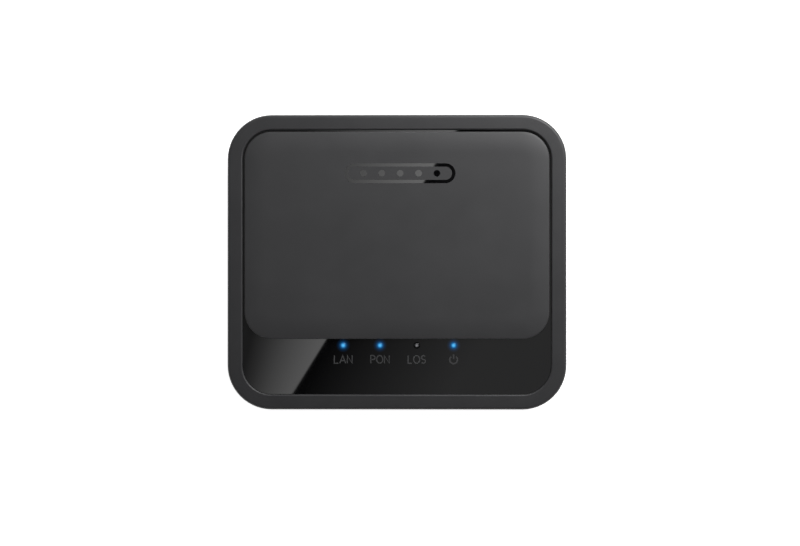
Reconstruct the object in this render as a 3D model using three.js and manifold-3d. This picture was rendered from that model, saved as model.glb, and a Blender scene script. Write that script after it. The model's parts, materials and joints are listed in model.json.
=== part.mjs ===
// A desktop optical network terminal: a two-part plastic case with a glossy sunk deck, a matt cover
// plate and four indicator windows, round a board that carries the optical port, the network jack,
// the power inlet, a reset switch and a latching power switch.
// Millimetres. +Z up, the ports at +Y, the indicators at -Y. The origin is the centre of the footprint,
// on the surface that the feet stand on.
import * as THREE from "three";
import { mergeVertices } from "three/addons/utils/BufferGeometryUtils.js";
import Module from "manifold-3d";

const wasm = await Module();
wasm.setup();

// ---------------------------------------------------------------- driving dimensions
const WIDTH = 92;
const DEPTH = 80;
const CORNER = 12;
const FOOT_DROP = 1.2; // the feet hold the case this far off the table
const TOP = 27; // the rim's flat top
const WALL = 2;
const TAPER = 0.09; // how far each side leans in per millimetre of height
const TOP_ROUND = 0.8;
const BOTTOM_ROUND = 2.5;
const INNER_ROUND = 1;
const SEAM = 12.6; // top of the base shell
const SEAM_GAP = 0.3;
const REST_GAP = 0.1; // between pieces that rest on each other
const ROOT = 0.5; // how far a post or rib runs into the wall that it stands on
const PAST = 1; // how far a cutting tool runs past the face that it cuts
const FLOOR = FOOT_DROP + WALL;

// The sunk deck and what lies in it.
const RIM = 4.1; // outline to the recess's wall
const RIM_BEVEL = 0.5;
const RECESS_FLOOR = 24.6;
const CEILING = 22.9; // underside of the deck's support
const PANEL = { gap: 0.15, bottom: RECESS_FLOOR + REST_GAP, top: 25.7 };
const PLATE = { inset: 4.6, front: -20.85, corner: 7.4, bottom: 25.8, top: 27.3 };
const CROWN = { drop: 0.4, width: 5.5 }; // how the plate's edges fall away
const PEG = { radius: 1.5, slack: 0.2, bottom: 23.2, x: 34, rows: [-14, 28] };

// Indicators, evenly spaced along X.
const INDICATOR = { y: -22.6, first: -14.6, pitch: 10, tip: 0.72, window: 0.85 };
const INDICATOR_NAMES = ["lan", "pon", "los", "power"];
const GUIDE = { radius: 1.2, ring: 1.7, ringHeight: 0.6, hole: 1.5, sunk: 0.05 };
const HOLDER = { half: 2.9, end: 3.2, top: 12.2, bore: 1.35, pocket: 1.3, pocketX: 1.8, pocketY: 1.5 };
const DIODE = { x: 1.1, y: 0.7, height: 0.9 };

// The board and what holds it.
const BOARD = { bottom: 6.6, top: 8.2, half: 34, front: -27.5, rear: 35.2, corner: 2, hole: 1.5 };
const BOARD_SEAT = { x: 31, y: -12, radius: 3, pilot: 1.2 };
const BOARD_REST = { radius: 2, x: 31, rear: 27, inner: 12, front: -25 };
const CASE_SCREW = { x: 37.6, y: 20, seat: 3.6, well: 3.1, way: 1.7, pilot: 1.5, boss: 3, bossHole: 20 };
const PILLAR = { foot: 4.4, step: 5.4, radius: 3.2, top: 8.3 };
const SCREWS = {
  case: { head: 2.7, headHeight: 2, shank: 1.4, length: 11 },
  board: { head: 2.4, headHeight: 1.5, shank: 1.05, length: 4.6 },
};

// The rear wall is a flat bay that every port faces.
const BAY = { half: 35.5, inner: 35.6, outer: 37.6, bottom: 4.6, top: 22.6, side: 1 };
const PORT_FACE = 37.4;
const PORT_SLACK = 0.3;
const ON_BOARD = BOARD.top + REST_GAP;
const PON = { x: 25, z: 13.3, width: 12.6, height: 9.4, rear: 20, depth: 11.5 };
const PON_SOCKET = { half: 4.6, rise: 3.8, key: 1.2, keyDepth: 0.5, bore: 2.6 };
const PON_FLANGE = { rear: 33.4, proud: 1 };
const SLEEVE = { radius: 2.45, bore: 1.26, recess: 4.8, solid: 3 };
const OPTICS = { rear: 8.4, half: 3.2, stub: 2.9, stubY: 13.5, proud: 0.8, notch: [15.6, 17.2], sunk: 0.6 };
const LASER = { radius: 2.8, length: 4.4 };
const RECEIVER = { radius: 2.7, length: 3.8 };
const LAN = { x: 6, width: 16, height: 13.4, length: 21.5, sheet: 0.3, gap: 0.1 };
const SOCKET = { half: 5.95, bottom: 11.3, top: 18.2, depth: 14 };
const LATCH = { setBack: 4, half: 3.1, sink: 1.5, slot: 1.7, slotSink: 2.2 };
const CONTACT = { count: 8, pitch: 1.02, width: 0.45, length: 9.6, thickness: 0.3, slope: 0.09, bar: 4.2 };
const INLET = { x: -18.5, z: 14.7, width: 9, height: 11, length: 12.6, collar: 4, bore: 3.2, depth: 9.5 };
const INLET_PIN = { radius: 1, root: 1.8, tip: 1.2 };
const INLET_LEAF = { width: 2.2, length: 6, thickness: 0.3, tilt: 0.05, slot: 0.9, drop: 0.35 };
const RESET = { x: -9, z: 15.6, hole: 1.1, half: 3, rear: 28.4, front: 32 };
const PLUNGER = { radius: 1.7, root: 31, tip: 34.9, slack: 0.2, way: 30.4 };
const POWER = { x: -29.5, z: 13, hole: 3.8, body: 8.2, rear: 23.6, front: 31.8 };
const BUTTON = { radius: 3.5, rear: 33.4, length: 5, edge: 0.4 };
const STEM = { half: 1.5, rear: 29.6, slack: 0.2, way: 27 };

// The underside and the vents.
const FOOT = { x: 31, rows: { front: -28, rear: 28 }, radius: 4.5, height: 1.6, slack: 0.2 };
const KEYHOLE = { x: 25, y: 0, head: 3.75, slot: 1.9, length: 7 };
const LABEL = { half: 19, front: 5, rear: 27, thickness: 0.2, slack: 0.3, sunk: 0.05 };
const VENT = { pitch: 4, width: 1.6 };
const SIDE_VENT = { count: 9, middle: -6, bottom: 5.6, top: 10.6, reach: 6 };
const FLOOR_VENT = { count: 11, front: -27, rear: -14, clear: 3 };
const SNAP = { x: 20, half: 4, bottom: 9.7, catch: 10.6, face: -36.1, back: -34.4, hook: -36.8, slack: 0.4 };
const LIP = { gap: 0.15, inner: 1.2, drop: 1.6, rise: 1.5, end: 33 };

// The parts on the board: width, depth, height, and where each lies.
const SOC = { side: 12, height: 1.1, x: -3, y: -6 };
const PAD = { side: 11, height: 0.5 };
const SINK = { side: 19, height: 8, fins: 8, foot: 1.6, blade: 0.9 };
const CAPACITOR = { radius: 3.15, height: 7.7, base: 1, proud: 0.2, groove: 0.25, edge: 0.4 };
const CAPACITOR_ROWS = { input: 16.5, output: 7 };
const CRYSTAL = { half: [5.4, 2.2], height: 3.4, corner: 2.15, place: [-18.6, -12.5] };
const CHIPS = [
  ["memory_chip", 13, 9, 1.1, 15.5, -7],
  ["flash_chip", 5.3, 5.3, 1.6, -21, -3],
  ["laser_driver_chip", 5, 5, 0.9, 26, -4.5],
  ["regulator_chip", 5, 4, 1.5, -27.5, 5],
  ["power_inductor", 6, 6, 3.2, -27.5, 13.5],
  ["lan_transformer", 12.5, 9.4, 5.8, 4.5, 9],
];
const CHIP_EDGE = 0.2;
const PIN_MARK = { inset: 0.9, radius: 0.35, depth: 0.12 };

const ARC_STEPS = 4; // ExtrudeGeometry doubles this on an arc
const ROUND_STEPS = 20;
const SMALL_STEPS = 12;
const FINE_STEPS = 32;

// ---------------------------------------------------------------- materials
const finish = (color, roughness, metalness = 0) =>
  new THREE.MeshStandardMaterial({ color, roughness, metalness });
const MATT_CASE = finish(0x3b3b3b, 0.6);
const MATT_PLATE = finish(0x414141, 0.55);
const GLOSS_BLACK = finish(0x0a0a0b, 0.08);
const RUBBER = finish(0x161616, 0.9);
const LABEL_FILM = finish(0xc9cbcc, 0.5);
const STEEL = finish(0x9a9c9e, 0.35, 1);
const ALUMINIUM = finish(0xb9bcbf, 0.4, 1);
const GOLD = finish(0xd4a84a, 0.3, 1);
const CLEAR_GUIDE = finish(0xdfeaf2, 0.15);
const BOARD_GREEN = finish(0x14502f, 0.5);
const CHIP_BLACK = finish(0x1b1b1d, 0.6);
const PORT_GREEN = finish(0x1f8a4c, 0.45);
const PORT_BLACK = finish(0x121213, 0.5);
const LED_BODY = finish(0xf1f1ea, 0.4);
const CERAMIC = finish(0xf4f3ee, 0.25);
const PAD_GREY = finish(0x8a97a8, 0.8);
const KEY_BLACK = finish(0x202021, 0.45);
const KEY_WHITE = finish(0xe6e4dc, 0.5);

// ---------------------------------------------------------------- shape helpers
function box(x0, x1, y0, y1, z0, z1) {
  const middle = [(x0 + x1) / 2, (y0 + y1) / 2, (z0 + z1) / 2];
  return new THREE.BoxGeometry(x1 - x0, y1 - y0, z1 - z0).translate(...middle);
}

function rodX(x0, x1, y, z, radius, steps = ROUND_STEPS) {
  const rod = new THREE.CylinderGeometry(radius, radius, x1 - x0, steps);
  return rod.rotateZ(Math.PI / 2).translate((x0 + x1) / 2, y, z);
}

function rodY(x, y0, y1, z, radius, steps = ROUND_STEPS) {
  return new THREE.CylinderGeometry(radius, radius, y1 - y0, steps).translate(x, (y0 + y1) / 2, z);
}

function rodZ(x, y, z0, z1, radius, steps = ROUND_STEPS) {
  const rod = new THREE.CylinderGeometry(radius, radius, z1 - z0, steps);
  return rod.rotateX(Math.PI / 2).translate(x, y, (z0 + z1) / 2);
}

// A slender rod along Z, with fewer sides.
const pinZ = (x, y, z0, z1, radius) => rodZ(x, y, z0, z1, radius, SMALL_STEPS);

// A solid of revolution about Z from [radius, height] pairs that start and end on the axis, lowest first.
function turned(profile, steps = ROUND_STEPS) {
  const points = profile.map(([radius, height]) => new THREE.Vector2(radius, height));
  return new THREE.LatheGeometry(points, steps).rotateX(Math.PI / 2);
}

function roundedRect(x0, x1, y0, y1, radius) {
  const shape = new THREE.Shape();
  shape.moveTo(x0 + radius, y0);
  shape.absarc(x1 - radius, y0 + radius, radius, -Math.PI / 2, 0);
  shape.absarc(x1 - radius, y1 - radius, radius, 0, Math.PI / 2);
  shape.absarc(x0 + radius, y1 - radius, radius, Math.PI / 2, Math.PI);
  shape.absarc(x0 + radius, y0 + radius, radius, Math.PI, 1.5 * Math.PI);
  return shape;
}

// The case's plan outline, moved inwards.
function caseOutline(inset) {
  const x = WIDTH / 2 - inset;
  const y = DEPTH / 2 - inset;
  return roundedRect(-x, x, -y, y, CORNER - inset);
}

function prism(shape, z0, z1) {
  const options = { depth: z1 - z0, bevelEnabled: false, curveSegments: ARC_STEPS };
  return new THREE.ExtrudeGeometry(shape, options).translate(0, 0, z0);
}

// A prism whose end edges are rounded, or chamfered with one step. The outline is that of its middle.
function softPrism(shape, z0, z1, size, thickness, steps) {
  const options = {
    depth: z1 - z0 - 2 * thickness,
    bevelThickness: thickness,
    bevelSize: size,
    bevelOffset: -size,
    bevelSegments: steps,
    curveSegments: ARC_STEPS,
  };
  return new THREE.ExtrudeGeometry(shape, options).translate(0, 0, z0 + thickness);
}

// The case's body moved inwards, with sides that lean in towards the foot.
function caseBody(inset, z0, z1, round, steps) {
  const body = softPrism(caseOutline(inset), z0, z1, round, round, steps);
  const place = body.attributes.position;
  for (let i = 0; i < place.count; i++) {
    const lean = TAPER * Math.max(0, TOP - TOP_ROUND - place.getZ(i));
    place.setX(i, place.getX(i) * (1 - (2 * lean) / WIDTH));
    place.setY(i, place.getY(i) * (1 - (2 * lean) / DEPTH));
  }
  return body;
}

const caseSkin = (z0, z1, round) => caseBody(0, z0, z1, round, 3);
const caseCore = (inset, z0, z1) => caseBody(inset, z0, z1, INNER_ROUND, 1);

const both = (make) => [make(-1), make(1)];
const indicatorX = (i) => INDICATOR.first + i * INDICATOR.pitch;
const eachIndicator = (make) => INDICATOR_NAMES.map((_, i) => make(indicatorX(i)));
const spread = (count, pitch) => Array.from({ length: count }, (_, i) => (i - (count - 1) / 2) * pitch);
const slice = (z0, z1) => box(-WIDTH, WIDTH, -DEPTH, DEPTH, z0, z1);

// ---------------------------------------------------------------- joining and cutting
function solid(piece) {
  if (!piece.isBufferGeometry) return piece;
  const bare = new THREE.BufferGeometry().setAttribute("position", piece.attributes.position.clone());
  if (piece.index) bare.setIndex(piece.index.clone());
  const merged = mergeVertices(bare, 1e-4);
  const vertProperties = new Float32Array(merged.attributes.position.array);
  const triVerts = new Uint32Array(merged.index.array);
  return new wasm.Manifold(new wasm.Mesh({ numProp: 3, vertProperties, triVerts }));
}

const join = (...pieces) => pieces.map(solid).reduce((whole, piece) => whole.add(piece));
const cut = (body, ...tools) => tools.map(solid).reduce((left, tool) => left.subtract(tool), solid(body));
const common = (a, b) => solid(a).intersect(solid(b));

function geometryOf(piece) {
  if (piece.isBufferGeometry) return piece;
  const mesh = piece.getMesh();
  const geometry = new THREE.BufferGeometry();
  geometry.setAttribute("position", new THREE.BufferAttribute(new Float32Array(mesh.vertProperties), 3));
  geometry.setIndex(new THREE.BufferAttribute(new Uint32Array(mesh.triVerts), 1));
  const flat = geometry.toNonIndexed();
  flat.computeVertexNormals();
  return flat;
}

// ---------------------------------------------------------------- the scene graph
const terminal = new THREE.Group();
const enclosure = new THREE.Group();
const ports = new THREE.Group();
const board = new THREE.Group(); // its own origin is just above the board's top face
board.position.z = ON_BOARD;
terminal.add(enclosure, ports, board);

function addNode(group, name, piece, material, x = 0, y = 0, z = 0) {
  const mesh = new THREE.Mesh(geometryOf(piece), material);
  mesh.name = name;
  mesh.position.set(x, y, z);
  group.add(mesh);
}

// ---------------------------------------------------------------- openings in both halves of the case
function portCuts() {
  const through = [BAY.inner - PAST, BAY.outer + PAST];
  const lanHalf = LAN.width / 2 + PORT_SLACK;
  const lanTop = ON_BOARD + LAN.height + PORT_SLACK;
  const ponX = PON.width / 2 + PORT_SLACK;
  const ponZ = PON.height / 2 + PORT_SLACK;
  return [
    box(-BAY.half, BAY.half, BAY.outer, DEPTH, BAY.bottom, BAY.top),
    box(LAN.x - lanHalf, LAN.x + lanHalf, ...through, BOARD.top - PORT_SLACK, lanTop),
    box(PON.x - ponX, PON.x + ponX, ...through, PON.z - ponZ, PON.z + ponZ),
    rodY(INLET.x, ...through, INLET.z, INLET.collar + PORT_SLACK),
    rodY(RESET.x, ...through, RESET.z, RESET.hole, SMALL_STEPS),
    rodY(POWER.x, ...through, POWER.z, POWER.hole),
  ];
}

function bayWall(z0, z1) {
  const half = BAY.half + BAY.side;
  return box(-half, half, BAY.inner, BAY.outer + ROOT, z0, z1);
}

// ---------------------------------------------------------------- base shell
function baseShell() {
  const reach = SEAM + 2 * BOTTOM_ROUND;
  const outside = common(caseSkin(FOOT_DROP, reach, BOTTOM_ROUND), slice(0, SEAM));
  const tray = cut(outside, caseCore(WALL, FLOOR, reach));
  const posts = [...boardPosts(), ...screwPillars(), bayWall(FLOOR - ROOT, SEAM)];
  const pilots = both((s) =>
    pinZ(s * BOARD_SEAT.x, BOARD_SEAT.y, FLOOR + ROOT, BOARD.bottom, BOARD_SEAT.pilot),
  );
  const cuts = [...portCuts(), ...snapPockets(), ...vents(), ...undersideCuts(), ...pilots];
  return cut(common(join(tray, ...posts), outside), ...cuts);
}

function boardPosts() {
  const height = [FLOOR - ROOT, BOARD.bottom - REST_GAP];
  const { radius, x, rear, inner, front } = BOARD_REST;
  return both((s) => [
    rodZ(s * BOARD_SEAT.x, BOARD_SEAT.y, ...height, BOARD_SEAT.radius),
    pinZ(s * x, rear, ...height, radius),
    pinZ(s * inner, front, ...height, radius),
  ]).flat();
}

function screwPillars() {
  const { x, y } = CASE_SCREW;
  return both((s) => [
    rodZ(s * x, y, FOOT_DROP, PILLAR.step, PILLAR.foot),
    rodZ(s * x, y, FOOT_DROP, PILLAR.top, PILLAR.radius),
  ]).flat();
}

function snapPockets() {
  const half = SNAP.half + SNAP.slack;
  const depth = [SNAP.hook - SNAP.slack, SNAP.face + PAST];
  const height = [SNAP.bottom - SEAM_GAP, SNAP.catch + SEAM_GAP];
  return both((s) => box(s * SNAP.x - half, s * SNAP.x + half, ...depth, ...height));
}

function vents() {
  const half = VENT.width / 2;
  const slot = (s, y) => {
    const x = (s * WIDTH) / 2;
    const { reach, bottom, top } = SIDE_VENT;
    return box(x - reach, x + reach, y - half, y + half, bottom, top);
  };
  const sideRows = spread(SIDE_VENT.count, VENT.pitch).map((step) => SIDE_VENT.middle + step);
  const sides = sideRows.flatMap((y) => both((s) => slot(s, y)));
  const clear = (x) => Math.abs(Math.abs(x) - BOARD_REST.inner) > FLOOR_VENT.clear;
  const floor = spread(FLOOR_VENT.count, VENT.pitch)
    .filter(clear)
    .map((x) => box(x - half, x + half, FLOOR_VENT.front, FLOOR_VENT.rear, 0, FLOOR + PAST));
  return [...sides, ...floor];
}

// Keyholes, screw wells, seats for the feet and the label's seat.
function undersideCuts() {
  const through = [0, FLOOR + PAST];
  const { x, y, head, slot, length } = KEYHOLE;
  const keyholes = both((s) => [
    rodZ(s * x, y, ...through, head),
    box(s * x - slot, s * x + slot, y - length, y, ...through),
    rodZ(s * x, y - length, ...through, slot),
  ]).flat();
  const screw = CASE_SCREW;
  const wells = both((s) => [
    rodZ(s * screw.x, screw.y, 0, screw.seat + REST_GAP, screw.well),
    pinZ(s * screw.x, screw.y, 0, PILLAR.top + PAST, screw.way),
  ]).flat();
  const footSeats = Object.values(FOOT.rows).flatMap((row) =>
    both((s) => rodZ(s * FOOT.x, row, 0, FOOT.height + REST_GAP, FOOT.radius + FOOT.slack)),
  );
  const edge = LABEL.half + LABEL.slack;
  const labelRows = [LABEL.front - LABEL.slack, LABEL.rear + LABEL.slack];
  const labelSeat = box(-edge, edge, ...labelRows, 0, FOOT_DROP + LABEL.thickness + LABEL.sunk);
  return [...keyholes, ...wells, ...footSeats, labelSeat];
}

// ---------------------------------------------------------------- upper housing and its deck
function topHousing() {
  const low = SEAM + SEAM_GAP;
  const deep = SEAM - 2 * BOTTOM_ROUND; // where the bodies that are cut off at the seam start
  const shell = cut(
    common(caseSkin(deep, TOP, TOP_ROUND), slice(low, TOP + PAST)),
    common(caseCore(WALL, deep, TOP), slice(0, CEILING)),
  );
  const { x, y, boss, pilot, bossHole } = CASE_SCREW;
  const bosses = both((s) => rodZ(s * x, y, PILLAR.top + SEAM_GAP, CEILING + ROOT, boss));
  const body = join(shell, seamLip(low, deep), bayWall(low, CEILING + ROOT), ...bosses, ...snaps(low));
  const deck = [CEILING - PAST, RECESS_FLOOR + PAST];
  const guideHoles = eachIndicator((at) => pinZ(at, INDICATOR.y, ...deck, GUIDE.hole));
  const screwHoles = both((s) => pinZ(s * x, y, PILLAR.top, bossHole, pilot));
  return cut(body, ...portCuts(), ...recess(), ...screwHoles, ...guideHoles, ...plateSockets(...deck));
}

function recess() {
  const edge = [TOP - RIM_BEVEL, TOP + 2 * RIM_BEVEL, RIM_BEVEL, RIM_BEVEL, 1];
  const bevel = softPrism(caseOutline(RIM - RIM_BEVEL), ...edge);
  return [prism(caseOutline(RIM), RECESS_FLOOR, TOP + PAST), bevel];
}

// The ring that stands inside the base's wall and lines the two halves up. It stops short of the bay.
function seamLip(low, deep) {
  const front = (z0, z1) => box(-WIDTH, WIDTH, -DEPTH, LIP.end, z0, z1);
  const tongue = common(caseCore(WALL + LIP.gap, deep, TOP), front(low - LIP.drop, low + LIP.rise));
  const root = common(caseCore(WALL - ROOT, deep, TOP), front(low, low + LIP.rise));
  return cut(join(tongue, root), caseCore(WALL + LIP.inner, deep - PAST, TOP + PAST));
}

function snaps(low) {
  return both((s) => {
    const width = [s * SNAP.x - SNAP.half, s * SNAP.x + SNAP.half];
    return [
      box(...width, SNAP.face, SNAP.back, SNAP.bottom, low + LIP.rise - REST_GAP),
      box(...width, SNAP.hook, SNAP.face + REST_GAP, SNAP.bottom, SNAP.catch),
    ];
  }).flat();
}

function plateSockets(z0, z1) {
  return PEG.rows.flatMap((y) => both((s) => pinZ(s * PEG.x, y, z0, z1, PEG.radius + PEG.slack)));
}

function glossPanel() {
  const through = [PANEL.bottom - PAST, PANEL.top + PAST];
  const windows = eachIndicator((x) => pinZ(x, INDICATOR.y, ...through, INDICATOR.window));
  const slab = prism(caseOutline(RIM + PANEL.gap), PANEL.bottom, PANEL.top);
  return cut(slab, ...windows, ...plateSockets(...through));
}

function topPlate() {
  const x = WIDTH / 2 - PLATE.inset;
  const outline = roundedRect(-x, x, PLATE.front, DEPTH / 2 - PLATE.inset, PLATE.corner);
  const depth = PLATE.top - PLATE.bottom;
  const pillow = softPrism(outline, PLATE.bottom - depth, PLATE.top, CROWN.width, CROWN.drop, 4);
  const slab = common(pillow, slice(PLATE.bottom, PLATE.top + PAST));
  const height = [PEG.bottom, PLATE.bottom + ROOT];
  const pegs = PEG.rows.flatMap((y) => both((s) => pinZ(s * PEG.x, y, ...height, PEG.radius)));
  return join(slab, ...pegs);
}

// ---------------------------------------------------------------- feet, screws and label
function foot() {
  const [r, h] = [FOOT.radius, FOOT.height];
  return turned([[0, 0], [r - 0.7, 0], [r - 0.2, 0.2], [r, 0.7], [r, h], [0, h]]);
}

// A pan-head screw that points up. The underside of its head is at z = 0.
function screw({ head, headHeight, shank, length }) {
  const pan = [[0, -headHeight], [head * 0.75, -headHeight], [head, -headHeight * 0.55], [head, 0], [0, 0]];
  const point = [[shank, length - 1], [shank * 0.4, length], [0, length]];
  const body = turned([[0, -REST_GAP], [shank, -REST_GAP], ...point], SMALL_STEPS);
  const [long, thin] = [head * 0.6, head * 0.14];
  const sunk = [-headHeight - PAST, -headHeight * 0.35];
  const cross = join(box(-long, long, -thin, thin, ...sunk), box(-thin, thin, -long, long, ...sunk));
  return cut(join(turned(pan), body), cross);
}

function ratingLabel() {
  const height = [FOOT_DROP, FOOT_DROP + LABEL.thickness];
  return box(-LABEL.half, LABEL.half, LABEL.front, LABEL.rear, ...height);
}

addNode(enclosure, "base_shell", baseShell(), MATT_CASE);
addNode(enclosure, "top_housing", topHousing(), MATT_CASE);
addNode(enclosure, "gloss_panel", glossPanel(), GLOSS_BLACK);
addNode(enclosure, "top_plate", topPlate(), MATT_PLATE);
addNode(enclosure, "rating_label", ratingLabel(), LABEL_FILM);
for (const [side, s] of [["left", -1], ["right", 1]]) {
  for (const [end, y] of Object.entries(FOOT.rows)) {
    addNode(enclosure, `foot_${end}_${side}`, foot(), RUBBER, s * FOOT.x, y);
  }
  const { x, y, seat } = CASE_SCREW;
  addNode(enclosure, `case_screw_${side}`, screw(SCREWS.case), STEEL, s * x, y, seat);
  const driven = screw(SCREWS.board).rotate([180, 0, 0]);
  addNode(board, `board_screw_${side}`, driven, STEEL, s * BOARD_SEAT.x, BOARD_SEAT.y);
}

// ---------------------------------------------------------------- light guides
function guideHolder() {
  const { half, end, top, bore, pocket, pocketX, pocketY } = HOLDER;
  const y = INDICATOR.y;
  const last = INDICATOR_NAMES.length - 1;
  const body = box(indicatorX(0) - end, indicatorX(last) + end, y - half, y + half, 0, top);
  const bores = eachIndicator((x) => pinZ(x, y, -PAST, top + PAST, bore));
  const pockets = eachIndicator((x) =>
    box(x - pocketX, x + pocketX, y - pocketY, y + pocketY, -PAST, pocket),
  );
  return cut(body, ...bores, ...pockets);
}

// Runs from just above the diode, through a retaining ring on the holder's top, to the deck's surface.
function lightGuide() {
  const { radius, ring, ringHeight, sunk } = GUIDE;
  const start = HOLDER.pocket + REST_GAP;
  const collar = HOLDER.top + REST_GAP;
  const shoulder = PANEL.bottom - ON_BOARD - 2 * REST_GAP;
  const tip = PANEL.top - ON_BOARD - sunk;
  return turned([
    [0, start],
    [radius, start],
    [radius, collar],
    [ring, collar],
    [ring, collar + ringHeight],
    [radius, collar + ringHeight],
    [radius, shoulder],
    [INDICATOR.tip, shoulder],
    [INDICATOR.tip, tip],
    [0, tip],
  ], SMALL_STEPS);
}

addNode(board, "light_pipe_holder", guideHolder(), PORT_BLACK);
INDICATOR_NAMES.forEach((name, i) => {
  const diode = box(-DIODE.x, DIODE.x, -DIODE.y, DIODE.y, 0, DIODE.height);
  addNode(board, `light_pipe_${name}`, lightGuide(), CLEAR_GUIDE, indicatorX(i), INDICATOR.y);
  addNode(board, `led_${name}`, diode, LED_BODY, indicatorX(i), INDICATOR.y);
});

// ---------------------------------------------------------------- the board and its small parts
function mainBoard() {
  const outline = roundedRect(-BOARD.half, BOARD.half, BOARD.front, BOARD.rear, BOARD.corner);
  const holes = both((s) =>
    pinZ(s * BOARD_SEAT.x, BOARD_SEAT.y, BOARD.bottom - PAST, BOARD.top + PAST, BOARD.hole),
  );
  return cut(prism(outline, BOARD.bottom, BOARD.top), ...holes);
}

// A moulded chip with a chamfered top edge and a pin-one mark sunk in it.
function chip(width, depth, height) {
  const [x, y] = [width / 2, depth / 2];
  const corners = [[-x, -y], [x, -y], [x, y], [-x, y]].map((corner) => new THREE.Vector2(...corner));
  const block = softPrism(new THREE.Shape(corners), -height, height, CHIP_EDGE, CHIP_EDGE, 1);
  const { inset, radius, depth: sunk } = PIN_MARK;
  const mark = pinZ(inset - x, y - inset, height - sunk, height + PAST, radius);
  return cut(common(block, slice(0, height + PAST)), mark);
}

function heatSink() {
  const { side, height, fins, foot: base, blade } = SINK;
  const half = side / 2;
  const rows = spread(fins, (side - blade) / (fins - 1));
  const blades = rows.map((x) => box(x - blade / 2, x + blade / 2, -half, half, base - ROOT, height));
  return join(box(-half, half, -half, half, 0, base), ...blades);
}

// A round can on a square base, with the groove that is rolled in above its seal.
function canCapacitor() {
  const { radius, height, base, proud, groove, edge } = CAPACITOR;
  const waist = base + 1.4;
  const can = turned([
    [0, base - proud],
    [radius, base - proud],
    [radius, waist - groove],
    [radius - groove, waist],
    [radius, waist + groove],
    [radius, height - edge],
    [radius - edge, height],
    [0, height],
  ]);
  const half = radius + proud;
  return join(box(-half, half, -half, half, 0, base), can);
}

function crystalCan() {
  const { height, corner } = CRYSTAL;
  const [x, y] = CRYSTAL.half;
  return prism(roundedRect(-x, x, -y, y, corner), 0, height);
}

const padZ = SOC.height + REST_GAP;
const sinkZ = padZ + PAD.height + REST_GAP;
const padHalf = PAD.side / 2;
const pad = box(-padHalf, padHalf, -padHalf, padHalf, 0, PAD.height);
addNode(ports, "main_board", mainBoard(), BOARD_GREEN);
addNode(board, "soc_chip", chip(SOC.side, SOC.side, SOC.height), CHIP_BLACK, SOC.x, SOC.y);
addNode(board, "thermal_pad", pad, PAD_GREY, SOC.x, SOC.y, padZ);
addNode(board, "heat_sink", heatSink(), ALUMINIUM, SOC.x, SOC.y, sinkZ);
for (const [name, width, depth, height, x, y] of CHIPS) {
  addNode(board, name, chip(width, depth, height), CHIP_BLACK, x, y);
}
addNode(board, "crystal_can", crystalCan(), STEEL, ...CRYSTAL.place);
for (const [name, y] of Object.entries(CAPACITOR_ROWS)) {
  addNode(board, `filter_capacitor_${name}`, canCapacitor(), ALUMINIUM, INLET.x, y);
}

// ---------------------------------------------------------------- optical port
function ponAdapter() {
  const { x, z, rear, depth } = PON;
  const [w, h] = [PON.width / 2, PON.height / 2];
  const { half, rise, key, keyDepth, bore } = PON_SOCKET;
  const { proud } = PON_FLANGE;
  const body = join(
    box(x - w, x + w, rear, PORT_FACE, z - h, z + h),
    box(x - w - proud, x + w + proud, PON_FLANGE.rear, BAY.inner - PORT_SLACK, z - h, z + h + proud),
  );
  const mouth = [PORT_FACE - depth, PORT_FACE + PAST];
  return cut(
    body,
    box(x - half, x + half, ...mouth, z - rise, z + rise),
    box(x - key, x + key, ...mouth, z, z + rise + keyDepth),
    rodY(x, rear - PAST, mouth[0] + PAST, z, bore),
  );
}

function ferruleSleeve() {
  const root = PON.rear + ROOT;
  const tip = PORT_FACE - SLEEVE.recess;
  const bore = rodY(PON.x, root + SLEEVE.solid, tip + PAST, PON.z, SLEEVE.bore, SMALL_STEPS);
  return cut(rodY(PON.x, root, tip, PON.z, SLEEVE.radius), bore);
}

function opticalBody() {
  const { rear, half, stub, stubY, proud, notch, sunk } = OPTICS;
  const { x, z } = PON;
  const block = box(x - half, x + half, rear, PON.rear - REST_GAP, z - half, z + half);
  const seat = rodX(x - half - proud, x, stubY, z, stub);
  return cut(join(block, seat), box(x - 1, x + 1, ...notch, z + half - sunk, z + half + PAST));
}

// A round can with a wider flange and four leads that bend down to the board. It points along -Y.
function diodeCan({ radius, length }) {
  const drop = ON_BOARD - PON.z;
  const [lead, tail] = [0.2, 2.2];
  const leads = [[-0.9, 0.7, 1], [0.9, 0.7, 1], [-0.9, -0.9, 0.5], [0.9, -0.9, 0.5]];
  const wires = leads.flatMap(([x, z, share]) => {
    const end = -length - tail * share;
    return [
      box(x - lead, x + lead, end, -length + lead, z - lead, z + lead),
      box(x - lead, x + lead, end, end + 2 * lead, drop, z + lead),
    ];
  });
  const flange = rodY(0, -1.2, 0, 0, radius);
  return join(flange, rodY(0, -length, -1, 0, radius * 0.84), ...wires);
}

const receiverX = PON.x - OPTICS.half - OPTICS.proud - REST_GAP;
const receiver = diodeCan(RECEIVER).rotate([0, 0, -90]);
addNode(ports, "pon_adapter", ponAdapter(), PORT_GREEN);
addNode(ports, "ferrule_sleeve", ferruleSleeve(), CERAMIC);
addNode(ports, "optical_body", opticalBody(), STEEL);
addNode(ports, "laser_can", diodeCan(LASER), GOLD, PON.x, OPTICS.rear - REST_GAP, PON.z);
addNode(ports, "receiver_can", receiver, GOLD, receiverX, OPTICS.stubY, PON.z);

// ---------------------------------------------------------------- network jack
const JACK = { bottom: ON_BOARD, top: ON_BOARD + LAN.height, rear: PORT_FACE - LAN.length };

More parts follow.
